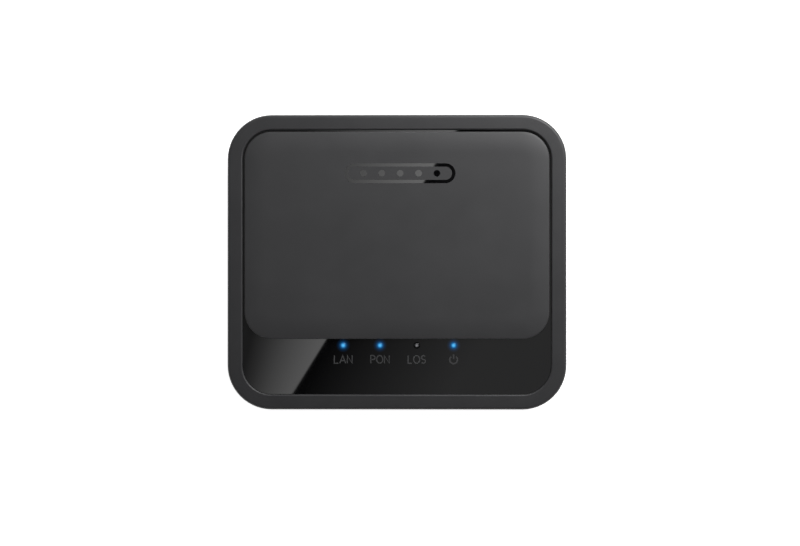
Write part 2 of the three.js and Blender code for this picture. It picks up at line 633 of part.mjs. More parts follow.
function jackShield() {
  const [half, t] = [LAN.width / 2, LAN.sheet];
  const outer = box(LAN.x - half, LAN.x + half, JACK.rear, PORT_FACE, JACK.bottom, JACK.top);
  const hollow = [JACK.rear + t, PORT_FACE + PAST, JACK.bottom - PAST, JACK.top - t];
  return cut(outer, box(LAN.x - half + t, LAN.x + half - t, ...hollow));
}

// The socket and the stepped slot below it that takes the plug's latch.
function jackInsert() {
  const clear = LAN.sheet + LAN.gap;
  const half = LAN.width / 2 - clear;
  const depth = [JACK.rear + clear, PORT_FACE - LAN.gap];
  const body = box(LAN.x - half, LAN.x + half, ...depth, JACK.bottom, JACK.top - clear);
  const back = PORT_FACE - SOCKET.depth;
  const front = PORT_FACE + PAST;
  const [low, latch] = [SOCKET.bottom, back + LATCH.setBack];
  return cut(
    body,
    box(LAN.x - SOCKET.half, LAN.x + SOCKET.half, back, front, low, SOCKET.top),
    box(LAN.x - LATCH.half, LAN.x + LATCH.half, latch, front, low - LATCH.sink, low + PAST),
    box(LAN.x - LATCH.slot, LAN.x + LATCH.slot, latch, front, low - LATCH.slotSink, low + PAST),
  );
}

// Contact wires that slope down into the socket, joined by a bar at its back.
function jackContacts() {
  const { count, pitch, width, length, thickness, slope, bar } = CONTACT;
  const back = PORT_FACE - SOCKET.depth + 0.2;
  const rail = box(LAN.x - bar, LAN.x + bar, back, back + 2 * thickness, SOCKET.top - 1.2, SOCKET.top - 0.2);
  const wires = spread(count, pitch).map((x) => {
    const wire = new THREE.BoxGeometry(width, length, thickness).rotateX(slope);
    return wire.translate(LAN.x + x, back + length / 2 + 0.2, SOCKET.top - 0.75);
  });
  return join(rail, ...wires);
}

addNode(ports, "lan_jack_shield", jackShield(), STEEL);
addNode(ports, "lan_jack_insert", jackInsert(), PORT_BLACK);
addNode(ports, "lan_jack_contacts", jackContacts(), GOLD);

// ---------------------------------------------------------------- power inlet
const INLET_BACK = PORT_FACE - INLET.depth;

function inletBody() {
  const { x, z, width, height, length, collar, bore } = INLET;
  const front = BAY.inner - PORT_SLACK;
  const block = [front - length, front, ON_BOARD, ON_BOARD + height];
  const leafSlot = [INLET_BACK, front - 2 * PORT_SLACK, z - bore - INLET_LEAF.slot, z];
  const leafHalf = INLET_LEAF.width / 2 + PORT_SLACK;
  return cut(
    join(box(x - width / 2, x + width / 2, ...block), rodY(x, front - PAST, PORT_FACE, z, collar)),
    rodY(x, INLET_BACK, PORT_FACE + PAST, z, bore),
    rodY(x, INLET_BACK - 2, INLET_BACK + PAST, z, INLET_PIN.radius + REST_GAP, SMALL_STEPS),
    box(x - leafHalf, x + leafHalf, ...leafSlot),
  );
}

function inletPin() {
  const { radius, root, tip } = INLET_PIN;
  const length = INLET.depth + root - tip;
  const point = [[radius, length - 0.5], [radius / 2, length], [0, length]];
  const pin = turned([[0, 0], [radius, 0], ...point], SMALL_STEPS);
  return pin.rotateX(-Math.PI / 2).translate(INLET.x, INLET_BACK - root, INLET.z);
}

function inletContact() {
  const { width, length, thickness, tilt, drop } = INLET_LEAF;
  const leaf = new THREE.BoxGeometry(width, length, thickness).rotateX(tilt);
  return leaf.translate(INLET.x, INLET_BACK + ROOT + length / 2, INLET.z - INLET.bore - drop);
}

addNode(ports, "dc_inlet_body", inletBody(), PORT_BLACK);
addNode(ports, "dc_inlet_pin", inletPin(), STEEL);
addNode(ports, "dc_inlet_contact", inletContact(), STEEL);

// ---------------------------------------------------------------- reset switch
function resetSwitchBody() {
  const { x, z, half, rear, front } = RESET;
  const way = rodY(x, PLUNGER.way, front + PAST, z, PLUNGER.radius + PLUNGER.slack);
  return cut(box(x - half, x + half, rear, front, ON_BOARD, z + half), way);
}

const plunger = rodY(RESET.x, PLUNGER.root, PLUNGER.tip, RESET.z, PLUNGER.radius);
addNode(ports, "reset_switch_body", resetSwitchBody(), PORT_BLACK);
addNode(ports, "reset_button", plunger, KEY_WHITE);

// ---------------------------------------------------------------- power switch, drawn latched in
function powerSwitchBody() {
  const { x, z, rear, front } = POWER;
  const half = POWER.body / 2;
  const way = STEM.half + STEM.slack;
  const body = box(x - half, x + half, rear, front, ON_BOARD, z + half);
  return cut(body, box(x - way, x + way, STEM.way, front + PAST, z - way, z + way));
}

function powerButton() {
  const { x, z } = POWER;
  const { radius, rear, length, edge } = BUTTON;
  const face = [[radius, length - edge], [radius - edge, length], [0, length]];
  const knob = turned([[0, 0], [radius, 0], ...face], FINE_STEPS).rotateX(-Math.PI / 2);
  const { half } = STEM;
  const stem = box(x - half, x + half, STEM.rear, rear + ROOT, z - half, z + half);
  return join(knob.translate(x, rear, z), stem);
}

addNode(ports, "power_switch_body", powerSwitchBody(), PORT_BLACK);
addNode(ports, "power_button", powerButton(), KEY_BLACK);

export default terminal;
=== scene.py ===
import json
import math

import bmesh
import bpy
from mathutils import Matrix, Vector


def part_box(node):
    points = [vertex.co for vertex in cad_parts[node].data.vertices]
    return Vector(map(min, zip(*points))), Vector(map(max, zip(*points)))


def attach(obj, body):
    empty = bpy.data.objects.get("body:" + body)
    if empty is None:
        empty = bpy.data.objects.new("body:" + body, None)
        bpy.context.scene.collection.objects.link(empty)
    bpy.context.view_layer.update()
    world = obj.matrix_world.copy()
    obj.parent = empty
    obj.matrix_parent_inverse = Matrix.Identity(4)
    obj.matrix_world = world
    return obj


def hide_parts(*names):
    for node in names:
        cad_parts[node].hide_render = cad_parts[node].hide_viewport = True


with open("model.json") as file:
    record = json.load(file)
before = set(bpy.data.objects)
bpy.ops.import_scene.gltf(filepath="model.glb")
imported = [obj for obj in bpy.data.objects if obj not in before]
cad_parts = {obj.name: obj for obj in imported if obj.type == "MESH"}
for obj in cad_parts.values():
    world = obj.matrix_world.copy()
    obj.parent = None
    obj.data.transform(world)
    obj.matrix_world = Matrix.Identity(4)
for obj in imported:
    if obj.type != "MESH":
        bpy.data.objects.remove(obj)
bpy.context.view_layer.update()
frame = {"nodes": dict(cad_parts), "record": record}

MM = 0.001


def mm_box(node):
    """The lowest and highest corners of a CAD node in millimetres."""
    low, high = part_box(node)
    return low / MM, high / MM


def middle(node):
    low, high = mm_box(node)
    return (low + high) / 2


# ---- sizes in millimetres
HOUSING_HIGH = mm_box("top_housing")[1]
BASE_LOW, BASE_HIGH = mm_box("base_shell")
DECK_LOW, DECK_HIGH = mm_box("gloss_panel")
PLATE_LOW, PLATE_HIGH = mm_box("top_plate")
BOARD_UNDERSIDE = mm_box("main_board")[0].z

SIDES = (-1, 1)  # left and right
BITE = 0.5  # how far a joined shape runs into its neighbour
PAST = 1  # how far a cutting tool runs past a face

# The case
HALF_X = HOUSING_HIGH.x
HALF_Y = HOUSING_HIGH.y
TOP = HOUSING_HIGH.z
UNDERSIDE = BASE_LOW.z
SEAM = BASE_HIGH.z
CORNER = 12
WALL = 2
TAPER = 0.09  # how far each side leans in per millimetre of height
TOP_ROUND = 0.8
BOTTOM_ROUND = 2.5
INNER_ROUND = 1
SEAM_GAP = 0.3
SEAM_EDGE = 0.2
FLOOR = UNDERSIDE + WALL
CEILING = 22.9
LIP_DROP = 1.6  # the upper half's lip hangs this far below the seam, inside the base
LIP_RISE = 1.5
LIP_SLACK = 0.15
LIP_DEPTH = 1.2
LIP_CHAMFER = 0.3
LIP_END = 33  # the lip stops at this Y to leave room for the ports
SNAP_X = 20
SNAP_HALF = 4

# The rim, and the recess that the deck and the plate lie in
RIM = 4.1
RIM_BEVEL = 0.44
RECESS_FLOOR = DECK_LOW.z - 0.1
RECESS_FILLET = 0.2
DECK_GAP = 0.15
DECK_EDGE = 0.03
DECK_GROW = 0.11  # the deck all but touches the recess's wall
PLATE_CORNER = 7.4
PLATE_BOTTOM = 25.8
PLATE_TOP = PLATE_HIGH.z - 0.03  # leaves room for the ink that lies on it
PLATE_CHAMFER = 0.1
PLATE_ROUND = 0.28
CROWN_DROP = 0.34
CROWN_WIDTH = 5.5
CROWN_STEPS = 10
PEG = 1.5
PEG_X = 34
PEG_ROWS = (-14, 28)
PEG_SLACK = 0.2
PEG_CHAMFER = 0.2

# Indicators and print
INDICATORS = ("lan", "pon", "los", "power")
LIT = ("lan", "pon", "power")
WINDOW = 0.85
WINDOW_EDGE = 0.05
TIP = 0.72
GUIDE = 1.2
GUIDE_HOLE = 1.5
GUIDE_COLLAR = 1.7
COLLAR_BOTTOM = 20.6
COLLAR_HEIGHT = 0.6
GUIDE_SHOULDER = 24.5
INK = 0.015
WORD_ROW = 3.8  # how far the labels lie in front of the indicators
WORD_HEIGHT = 2.1
WORD_STROKE = 0.31
WORD_GAP = 0.45
SYMBOL_RADIUS = 1.05
SYMBOL_STROKE = 0.42
SYMBOL_GAP = 70  # degrees
SYMBOL_TICK = 1.35
MARK_X = 0.9
MARK_Y = 24.1
MARK_HALF = 15
MARK_RISE = 2.7
MARK_STROKE = 0.9
MARK_DOT = 0.9
MARK_STEPS = (-10, -5, 0, 5, 10)

# The rear bay, the ports and the keys
BAY_HALF = 35.5
BAY_INNER = 35.6
BAY_OUTER = 37.6
BAY_BOTTOM = 4.6
BAY_TOP = 22.6
BAY_DRAFT = 0.5
BAY_CORNER = 0.6
PORT_SLACK = 0.3
PORT_EDGE = 0.3  # the chamfer round each opening
FLANGE = 1  # the optical coupling's
FLANGE_FRONT = 33.4
PLUG_HALF_X = 4.6
PLUG_HALF_Z = 3.8
PLUG_DEPTH = 11.5
PLUG_KEY_HALF = 1.2
PLUG_KEY_TOP = 4.3
SHEET = 0.3
JACK_FLOOR = 11.3
JACK_ROOF = 18.2
JACK_HALF = 5.95
JACK_DEPTH = 14
LATCH_HALF = 3.1
LATCH_SLOT_HALF = 1.7
WIRES = 8
WIRE_PITCH = 1.02
WIRE_HALF = 0.2
WIRE_THICKNESS = 0.3
GROOVE_HALF = 0.33
INLET_COLLAR = 4
INLET_BORE = 3.2
INLET_DEPTH = 9.5
INLET_PIN = 1
PINHOLE = 1.1
KEY_HOLE = 3.8
KEY_FRONT = 33.4
KEY_ROUND = 0.5
KEY_DISH = 0.25
KEY_DISH_STEPS = 8
KEY_STEM_HALF = 1.5

# Vents, screws, posts and feet
VENT_HALF = 0.8
VENT_PITCH = 4
VENT_EDGE = 0.25
SIDE_VENTS = 9
SIDE_VENT_Y = -6
SIDE_VENT_LOW = 5.6
SIDE_VENT_HIGH = 10.6
SIDE_VENT_DEPTH = 4.5
FLOOR_VENTS = 11
FLOOR_VENT_LOW = -27
FLOOR_VENT_HIGH = -14
POST_CLEARANCE = 3
KEYHOLE_X = 25
KEYHOLE_HEAD = 3.75
KEYHOLE_SLOT = 1.9
KEYHOLE_LENGTH = 7
SCREW_X = 37.6
SCREW_Y = 20
SCREW_SEAT = 3.6
SCREW_WELL = 3.1
SCREW_WAY = 1.7
SCREW_HOLE = 1.5
SCREW_HOLE_TOP = 20
SCREW_HEAD = 2.7
SCREW_HEAD_HEIGHT = 2.0
SCREW_SHANK = 1.4
SCREW_LENGTH = 11
THREAD_PITCH = 0.6
THREAD_ROOT = SCREW_SHANK * 0.86
BOSS = 3
PILLAR = 4.4
PILLAR_NECK = 3.2
PILLAR_STEP = 5.4
PILLAR_TOP = 8.3
BOARD_GAP = 0.1
BOARD_SCREW = (31, -12)
BOARD_POSTS = ((*BOARD_SCREW, 3), (31, 27, 2), (12, -25, 2))  # X, Y and radius; the left mirrors them
PILOT = 1.2
PILOT_TOP = 8
FOOT_X = 31
FOOT_Y = 28
FOOT_RADIUS = 4.5
FOOT_TOP = 1.6
FOOT_ROUND = 0.9
FOOT_SEAT = 4.7
FOOT_SEAT_TOP = 1.7
LABEL_CORNER = 1.4
LABEL_SLACK = 0.3
RULE = 0.14
FRAME_RULE = 0.18
RULE_INK = 0.012

CORNER_STEPS = 14
ROUND_STEPS = 6
CREASE = math.radians(32)
CAD_BEVEL = 0.08
CAD_WELD = 0.01

# The camera: where it is, and the place on the object's top that it looks at
CAMERA_X = 15.0
CAMERA_Y = -6.4
CAMERA_HEIGHT = 840.5
CAMERA_AIM = (0.86, -2.95)
LENS = 135
SENSOR = 36

# ---- light
# Painted light round a lit indicator, which the deck and the guide's tip give off: its colour at each
# distance from the guide's axis, in millimetres.
PAINTED_GLOW = (
    (0.0, (0.12, 0.56, 1.0)),
    (0.3, (0.065, 0.41, 0.82)),
    (0.62, (0.012, 0.11, 0.3)),
    (0.9, (0.002, 0.038, 0.11)),
    (1.3, (0.0, 0.009, 0.028)),
    (1.9, (0.0, 0.0, 0.0)),
)
# The unlit guide's core, painted pale as a highlight, and its rim, painted dark as shade: how far the
# core reaches and fades, and how much paler and darker than its slot's colour the core and its rim are.
CORE_HIGHLIGHT = (0.1, 0.6)
HIGHLIGHT_GAIN = 1.5
RIM_SHADE = 0.04

# The card that the deck mirrors: how far over the deck it hangs, and its size as mirrored.
CARD_LIFT = 170.0
CARD_SIZE = 140
# A place on the panel's straight edge, as mirrored in the deck, and the way that points beyond it.
EDGE_X = -28.7
EDGE_Y = -36.25
EDGE_NORMAL = (0.849, -0.528)
EDGE_SOFTNESS = 0.15
# The panel's dim side: its X where Y is 0, and how far it moves along X for each Y.
PANEL_SIDE = (-34.5, 0.25)
# How bright the panel is at shares of the way from its dim side to its edge, its light where Y is 0, and
# what each Y adds to that.
PANEL_LIGHT = ((0, 0.1), (0.2, 0.25), (0.5, 0.55), (0.75, 0.78), (1, 1.0))
PANEL_GAIN = (2.7, 0.018)
# The room's light just past the edge, and its light ROOM_REACH past it.
ROOM_LIGHT = (0.0, 0.5)
ROOM_REACH = 36

# The world's light at the horizon and from ZENITH_START up, where 1 is straight up.
HORIZON_LIGHT = 0.8
ZENITH_LIGHT = 0.07
ZENITH_START = 0.6
# The soft light, in watts and metres.
KEY_LIGHT = 0.84
KEY_SIZE = 0.16
KEY_PLACE = (0.118, 0.165, 0.22)
FLOOR_LIGHT = 0.9
FLOOR_WHITE = 0.93
FLOOR_SIZE = 6  # metres
FLOOR_DROP = 0.02  # keeps the floor clear of the feet


# ---- shapes: (points, faces) in millimetres
def corners(x0, x1, y0, y1, radius, steps=CORNER_STEPS):
    """A rectangle with round corners, as (x, y) points."""
    centres = (
        (x1 - radius, y0 + radius, -90),
        (x1 - radius, y1 - radius, 0),
        (x0 + radius, y1 - radius, 90),
        (x0 + radius, y0 + radius, 180),
    )
    found = []
    for x, y, start in centres:
        for i in range(steps + 1):
            angle = math.radians(start + 90 * i / steps)
            found.append((x + radius * math.cos(angle), y + radius * math.sin(angle)))
    return found


def circle(x, y, radius, steps=32):
    turn = [math.tau * i / steps for i in range(steps)]
    return [(x + radius * math.cos(a), y + radius * math.sin(a)) for a in turn]


def loft(rings, closed=False):
    """A skin over rings of equal length, with flat lids unless the last ring joins the first."""
    size = len(rings[0])
    points = [Vector(point) for ring in rings for point in ring]
    faces = []
    for r in range(len(rings) - (0 if closed else 1)):
        low = r * size
        high = (r + 1) % len(rings) * size
        for i in range(size):
            j = (i + 1) % size
            faces.append((low + i, low + j, high + j, high + i))
    if not closed:
        faces.append(tuple(reversed(range(size))))
        faces.append(tuple(range(len(points) - size, len(points))))
    return points, faces


def stack(outline, stops):
    """outline(grow) carried up Z through (grow, height) stops."""
    return loft([[(x, y, height) for x, y in outline(grow)] for grow, height in stops])


def lathe(profile, steps=48):
    """A solid of revolution about Z through (radius, height) pairs, with flat lids."""
    return loft([[(x, y, height) for x, y in circle(0, 0, radius, steps)] for radius, height in profile])


def moved(shape, x=0, y=0, z=0):
    points, faces = shape
    return [point + Vector((x, y, z)) for point in points], faces


def turned(shape, *order):
    """The shape with its axes dealt out again: order says which old axis each new one takes."""
    points, faces = shape
    return [Vector([point[axis] for axis in order]) for point in points], faces


def to_back(shape):
    """Drawn in X and Z, deep along Y."""
    return turned(shape, 0, 2, 1)


def to_side(shape):
    """Drawn in Y and Z, deep along X."""
    return turned(shape, 2, 0, 1)


def group(*shapes):
    """Several shapes that don't touch, as one."""
    points, faces = [], []
    for more_points, more_faces in shapes:
        start = len(points)
        points += more_points
        faces += [tuple(start + i for i in face) for face in more_faces]
    return points, faces


def rect(x0, x1, y0, y1, radius=0.0, steps=4):
    """An outline that can grow: a rectangle, with round corners or square ones."""
    def outline(grow):
        left, right, front, rear = x0 - grow, x1 + grow, y0 - grow, y1 + grow
        if radius <= 0:
            return [(left, front), (right, front), (right, rear), (left, rear)]
        return corners(left, right, front, rear, max(radius + grow, 0.02), steps)
    return outline


def disc(x, y, radius, steps=32):
    return lambda grow: circle(x, y, radius + grow, steps)


def block(x0, x1, y0, y1, z0, z1):
    return stack(rect(x0, x1, y0, y1), [(0, z0), (0, z1)])


def rod(x, y, radius, z0, z1, steps=24):
    """An upright cylinder."""
    return stack(disc(x, y, radius, steps), [(0, z0), (0, z1)])


def quarter(steps=ROUND_STEPS):
    """(sine, one less cosine) pairs over a quarter turn."""
    turn = [math.pi / 2 * i / steps for i in range(steps + 1)]
    return [(math.sin(a), 1 - math.cos(a)) for a in turn]


def eased(outline, low, high, edge):
    """A prism whose end edges are rounded by edge."""
    foot = [(edge * (up - 1), low + edge * out) for up, out in quarter(2)]
    head = [(edge * (up - 1), high - edge * out) for up, out in reversed(quarter(2))]
    return stack(outline, foot + head)


def mouth(outline, deep, face, edge=PORT_EDGE, past=1.0):
    """A cutting tool that runs from deep to just past face, where its sides flare out into a chamfer."""
    way = 1 if face > deep else -1
    return stack(outline, [(0, deep), (0, face - way * edge), (edge + past, face + way * past)])


def band(path, width, low, high, closed=False):
    """A flat stroke of even width along (x, y) points."""
    sections = []
    last = len(path) - 1
    for i, point in enumerate(path):
        here = Vector(point)
        ways = []
        if closed or i > 0:
            ways.append((here - Vector(path[i - 1])).normalized())
        if closed or i < last:
            ways.append((Vector(path[(i + 1) % len(path)]) - here).normalized())
        way = sum(ways, Vector((0, 0))).normalized()
        side = Vector((-way.y, way.x))
        reach = width / 2 / max(way.dot(ways[0]), 0.6)
        left = here + side * reach
        right = here - side * reach
        sections.append([(*left, low), (*right, low), (*right, high), (*left, high)])
    return loft(sections, closed)


def arc(x, y, radius, start, end, steps=12, squash=1.0):
    """Points along an arc, in degrees."""
    turn = [math.radians(start + (end - start) * i / steps) for i in range(steps + 1)]
    return [(x + radius * math.cos(a), y + radius * squash * math.sin(a)) for a in turn]


# ---- meshes
def add_object(name, data):
    made = bpy.data.objects.new(name, data)
    bpy.context.scene.collection.objects.link(made)
    return made


def modify(made, kind, **settings):
    step = made.modifiers.new(kind, kind)
    for name, value in settings.items():
        setattr(step, name, value)


def raw_object(name, shape):
    """An object still in millimetres, its faces pointing out."""
    points, faces = shape
    mesh = bpy.data.meshes.new(name)
    mesh.from_pydata(points, [], faces)
    work = bmesh.new()
    work.from_mesh(mesh)
    bmesh.ops.recalc_face_normals(work, faces=work.faces)
    work.to_mesh(mesh)
    work.free()
    return add_object(name, mesh)


def combine(target, shape, operation):
    """Cuts the shape out of target, joins it on, or keeps what they share."""
    tool = raw_object("tool", shape)
    for solver in ("MANIFOLD", "EXACT"):
        step = target.modifiers.new("combine", "BOOLEAN")
        step.object = tool
        step.operation = operation
        step.solver = solver
        seen = target.evaluated_get(bpy.context.evaluated_depsgraph_get())
        result = bpy.data.meshes.new_from_object(seen)
        target.modifiers.remove(step)
        if len(result.polygons) > 3 and len(result.polygons) != len(target.data.polygons):
            break
    else:
        print("combine had no effect on", target.name)
    spent = target.data
    target.data = result
    bpy.data.meshes.remove(spent)
    spent = tool.data
    bpy.data.objects.remove(tool)
    bpy.data.meshes.remove(spent)


def shade(made):
    """Smooth faces with creases at real edges."""
    made.data.shade_smooth()
    made.data.set_sharp_from_angle(angle=CREASE)
    modify(made, "WEIGHTED_NORMAL", keep_sharp=True)


def piece(name, shape, slot, steps=(), stands_for=(), body="terminal"):
    """A finished piece: the shape, then each (operation, shape) step, its finish and its body."""
    made = raw_object(name, shape)
    for operation, other in steps:
        combine(made, other, operation)
    made.data.transform(Matrix.Scale(MM, 4))
    shade(made)
    made.data.materials.clear()
    made.data.materials.append(FINISHES[slot])
    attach(made, body)
    if stands_for:
        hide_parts(*stands_for)
    return made


def cut(*shapes):
    return [("DIFFERENCE", shape) for shape in shapes]


def join(*shapes):
    return [("UNION", shape) for shape in shapes]


# ---- finishes
def fill(tree, made, inputs):
    """Gives a shader node's inputs their values or links."""
    for name, value in inputs.items():
        if isinstance(value, bpy.types.NodeSocket):
            tree.links.new(value, made.inputs[name])
        else:
            made.inputs[name].default_value = value


def new_finish(name):
    """A new material, with its node tree and the shader in it."""
    made = bpy.data.materials.new(name)
    made.use_nodes = True
    return made, made.node_tree, made.node_tree.nodes["Principled BSDF"]


def node(tree, kind, inputs=None, **settings):
    """A shader node with its settings and inputs."""
    made = tree.nodes.new("ShaderNode" + kind)
    for name, value in settings.items():
        setattr(made, name, value)
    fill(tree, made, inputs or {})
    return made


def place(tree):
    """A point's place in its own object, in metres."""
    return node(tree, "TexCoord").outputs["Object"]


def noise(tree, size, detail=2.0, at=None):
    """Even noise whose patches are about size millimetres wide."""
    inputs = {"Vector": at or place(tree), "Scale": 1 / (size * MM), "Detail": detail, "Roughness": 0.55}
    return node(tree, "TexNoise", inputs).outputs["Fac"]


def remap(tree, value, low, high, to_low, to_high, smooth=False):
    inputs = {"Value": value, "From Min": low, "From Max": high, "To Min": to_low, "To Max": to_high}
    kind = "SMOOTHSTEP" if smooth else "LINEAR"
    return node(tree, "MapRange", inputs, interpolation_type=kind).outputs["Result"]


def calc(tree, operation, first, second):
    return node(tree, "Math", {0: first, 1: second}, operation=operation).outputs["Value"]


def relief(tree, height, depth):
    """Bumps as deep as depth millimetres."""
    inputs = {"Height": height, "Distance": depth * MM, "Strength": 1.0}
    return node(tree, "Bump", inputs).outputs["Normal"]


def shades(tree, factor, dark, light):
    """A colour between two others."""
    made = node(tree, "Mix", {"Factor": factor}, data_type="RGBA")
    made.inputs["A"].default_value = (*dark, 1)
    made.inputs["B"].default_value = (*light, 1)
    return made.outputs["Result"]


def surface(name, colour, roughness, grain=0.3, depth=0, mottle=0.06, metallic=0, spread=0.05, patch=6):
    """A moulded or plated surface: patches of colour and gloss, under a fine grain.
    mottle and spread are how far colour and gloss vary; patch, grain and depth are in millimetres."""
    made, tree, shader = new_finish(name)
    patches = noise(tree, patch, 4.0)
    dark = [c * (1 - mottle) for c in colour]
    light = [c * (1 + mottle) for c in colour]
    gloss = remap(tree, patches, 0.3, 0.7, roughness - spread, roughness + spread)
    inputs = {"Metallic": metallic, "Base Color": shades(tree, patches, dark, light), "Roughness": gloss}
    fill(tree, shader, inputs)
    if depth:
        fill(tree, shader, {"Normal": relief(tree, noise(tree, grain), depth)})
    return made


def slot_colour(slot):
    """The colour that the record gives a slot."""
    rows = frame["record"]["materials"]
    return next(row["base_color"][:3] for row in rows if row["slot"] == slot)


def from_guide(tree, name):
    """How far a point lies from the axis of a light guide, in metres."""
    apart = node(tree, "SeparateXYZ", {"Vector": place(tree)})
    flat = node(tree, "CombineXYZ", {"X": apart.outputs["X"], "Y": apart.outputs["Y"]})
    axis = middle("light_pipe_" + name) * MM
    inputs = {0: flat.outputs["Vector"], 1: (axis.x, axis.y, 0)}
    return node(tree, "VectorMath", inputs, operation="DISTANCE").outputs["Value"]


def ramp(tree, share, stops):
    """A colour for each share from 0 to 1, blended between (share, colour) stops."""
    made = node(tree, "ValToRGB", {"Fac": share})
    elements = made.color_ramp.elements
    while len(elements) < len(stops):
        elements.new(0.5)
    for element, (position, colour) in zip(elements, stops):
        element.position = position
        element.color = (*colour, 1)
    return made.outputs["Color"]


def painted_glow(tree):
    """Painted light that fades out round the lit guides."""
    nearest = None
    for name in LIT:
        away = from_guide(tree, name)
        nearest = calc(tree, "MINIMUM", nearest, away) if nearest else away
    reach = PAINTED_GLOW[-1][0]
    share = remap(tree, nearest, 0, reach * MM, 0, 1)
    return ramp(tree, share, [(distance / reach, colour) for distance, colour in PAINTED_GLOW])


def add_painted_core_and_rim(finish, name):
    """A clear guide's unlit tip: its core is painted pale as a highlight and its rim painted dark as
    shade.
    """
    tree = finish.node_tree
    highlight_share = remap(tree, from_guide(tree, name), CORE_HIGHLIGHT[0] * MM, CORE_HIGHLIGHT[1] * MM, 0, 1, True)
    highlight_colour = [c * HIGHLIGHT_GAIN for c in slot_colour("indicator_unlit")]
    rim = [c * RIM_SHADE for c in highlight_colour]
    tree.links.new(shades(tree, highlight_share, highlight_colour, rim), tree.nodes["Principled BSDF"].inputs["Base Color"])


# Gives a finish the painted light round the lit guides.
def add_painted_glow(finish):
    tree = finish.node_tree
    fill(tree, tree.nodes["Principled BSDF"], {"Emission Color": painted_glow(tree), "Emission Strength": 1})
    return finish


def brushed(name, colour, roughness):
    """Sheet metal with fine lines along X."""
    made = surface(name, colour, roughness, metallic=1.0, spread=0.04)
    tree = made.node_tree
    stretched = {"Vector": place(tree), "Scale": (0.04, 1, 1)}
    lines = node(tree, "Mapping", stretched).outputs["Vector"]
    grain = relief(tree, noise(tree, 0.12, 2.0, lines), 0.002)
    tree.links.new(grain, tree.nodes["Principled BSDF"].inputs["Normal"])
    return made


def make_finishes():
    """One finish for each material slot of the record."""
    plain = {  # roughness, the grain's size and depth in millimetres, and how far the colour varies
        "case_matt": (0.46, 0.16, 0.006, 0.05, dict(patch=9, spread=0.03)),
        "plate_matt": (0.44, 0.16, 0.005, 0.04, dict(patch=11, spread=0.03)),
        "foot_rubber": (0.78, 0.25, 0.012, 0.15, {}),
        "label_film": (0.42, 0.5, 0.002, 0.03, {}),
        "aluminium": (0.38, 0.1, 0.003, 0.04, dict(metallic=1.0)),
        "gold_plate": (0.26, 0.2, 0.001, 0.05, dict(metallic=1.0)),
        "board_green": (0.36, 0.6, 0.004, 0.12, dict(patch=3)),
        "chip_black": (0.58, 0.1, 0.004, 0.1, {}),
        "port_green": (0.42, 0.2, 0.003, 0.06, {}),
        "port_black": (0.4, 0.2, 0.003, 0.1, {}),
        "led_body": (0.35, 0.2, 0.002, 0.06, {}),
        "ceramic_white": (0.18, 0.4, 0.001, 0.03, {}),
        "pad_grey": (0.85, 0.2, 0.008, 0.1, {}),
        "key_black": (0.4, 0.16, 0.004, 0.06, {}),
        "key_white": (0.45, 0.2, 0.003, 0.03, {}),
        "print_grey": (0.5, 0.1, 0.001, 0.1, {}),
        "indicator_unlit": (0.22, 0.3, 0.001, 0.04, {}),
    }
    made = {}
    for slot, (*first, more) in plain.items():
        made[slot] = surface(slot, slot_colour(slot), *first, **more)
    made["steel"] = brushed("steel", slot_colour("steel"), 0.3)
    # The unlit indicator's tip gets a painted highlight at its core and painted shade at its rim.
    add_painted_core_and_rim(made["indicator_unlit"], "los")
    deck = dict(roughness=0.025, mottle=0.05, spread=0.006, patch=25)
    # The gloss deck gives off painted light round the lit guides, as if their light spread through it.
    made["gloss_black"] = add_painted_glow(surface("gloss_black", slot_colour("gloss_black"), **deck))
    made["indicator_lit"] = add_painted_glow(surface("indicator_lit", (0.01, 0.03, 0.05), 0.2, mottle=0.02))
    return made


FINISHES = make_finishes()


# ---- the case
def case_ring(inset, z):
    """The case's plan outline moved inwards, at a height where its sides may lean in."""
    lean = TAPER * max(0, TOP - TOP_ROUND - z)
    x = HALF_X - inset
    y = HALF_Y - inset
    outline = corners(-x, x, -y, y, CORNER - inset)
    return [(px * (1 - lean / HALF_X), py * (1 - lean / HALF_Y), z) for px, py in outline]


def straight_ring(inset, z):
    """The case's plan outline moved inwards, where its sides stand upright."""
    x = HALF_X - inset
    y = HALF_Y - inset
    return [(px, py, z) for px, py in corners(-x, x, -y, y, CORNER - inset)]


def wall_face(z):
    """How far out the side wall lies at a height."""
    return HALF_X * (1 - TAPER * (TOP - TOP_ROUND - z) / HALF_X)


def peg_places():
    return [(s * PEG_X, y) for s in SIDES for y in PEG_ROWS]


def guide_places():
    return [middle("light_pipe_" + name) for name in INDICATORS]


def bay_tools():
    """The rear bay and the openings of the ports in its wall, which both halves of the case share."""
    outline = rect(-BAY_HALF, BAY_HALF, BAY_BOTTOM, BAY_TOP, BAY_CORNER)
    bay = stack(outline, [(0, BAY_OUTER), (BAY_DRAFT, HALF_Y), (BAY_DRAFT, HALF_Y + 3 * PAST)])
    return [to_back(bay), group(*port_tools())]


def port_tools():
    """The openings of the jack, the coupling, the inlet, the pinhole and the power key."""
    lan_low, lan_high = mm_box("lan_jack_shield")
    pon_low, pon_high = mm_box("pon_adapter")
    inlet = middle("dc_inlet_pin")
    reset = middle("reset_button")
    power = middle("power_button")
    slack = PORT_SLACK
    neck = FLANGE - slack
    outlines = [
        rect(lan_low.x - slack, lan_high.x + slack, lan_low.z - slack - 0.1, lan_high.z + slack, 0.4),
        rect(pon_low.x + neck, pon_high.x - neck, pon_low.z - slack, pon_high.z - neck, 0.5),
        disc(inlet.x, inlet.z, INLET_COLLAR + slack, steps=40),
        disc(reset.x, reset.z, PINHOLE, steps=24),
        disc(power.x, power.z, KEY_HOLE, steps=40),
    ]
    return [to_back(mouth(outline, BAY_INNER - PAST, BAY_OUTER)) for outline in outlines]


def bay_wall(z0, z1):
    """The wall that the ports look out of, from one height to another."""
    half = BAY_HALF + 2 * BITE
    return block(-half, half, BAY_INNER, BAY_OUTER + BITE, z0, z1)


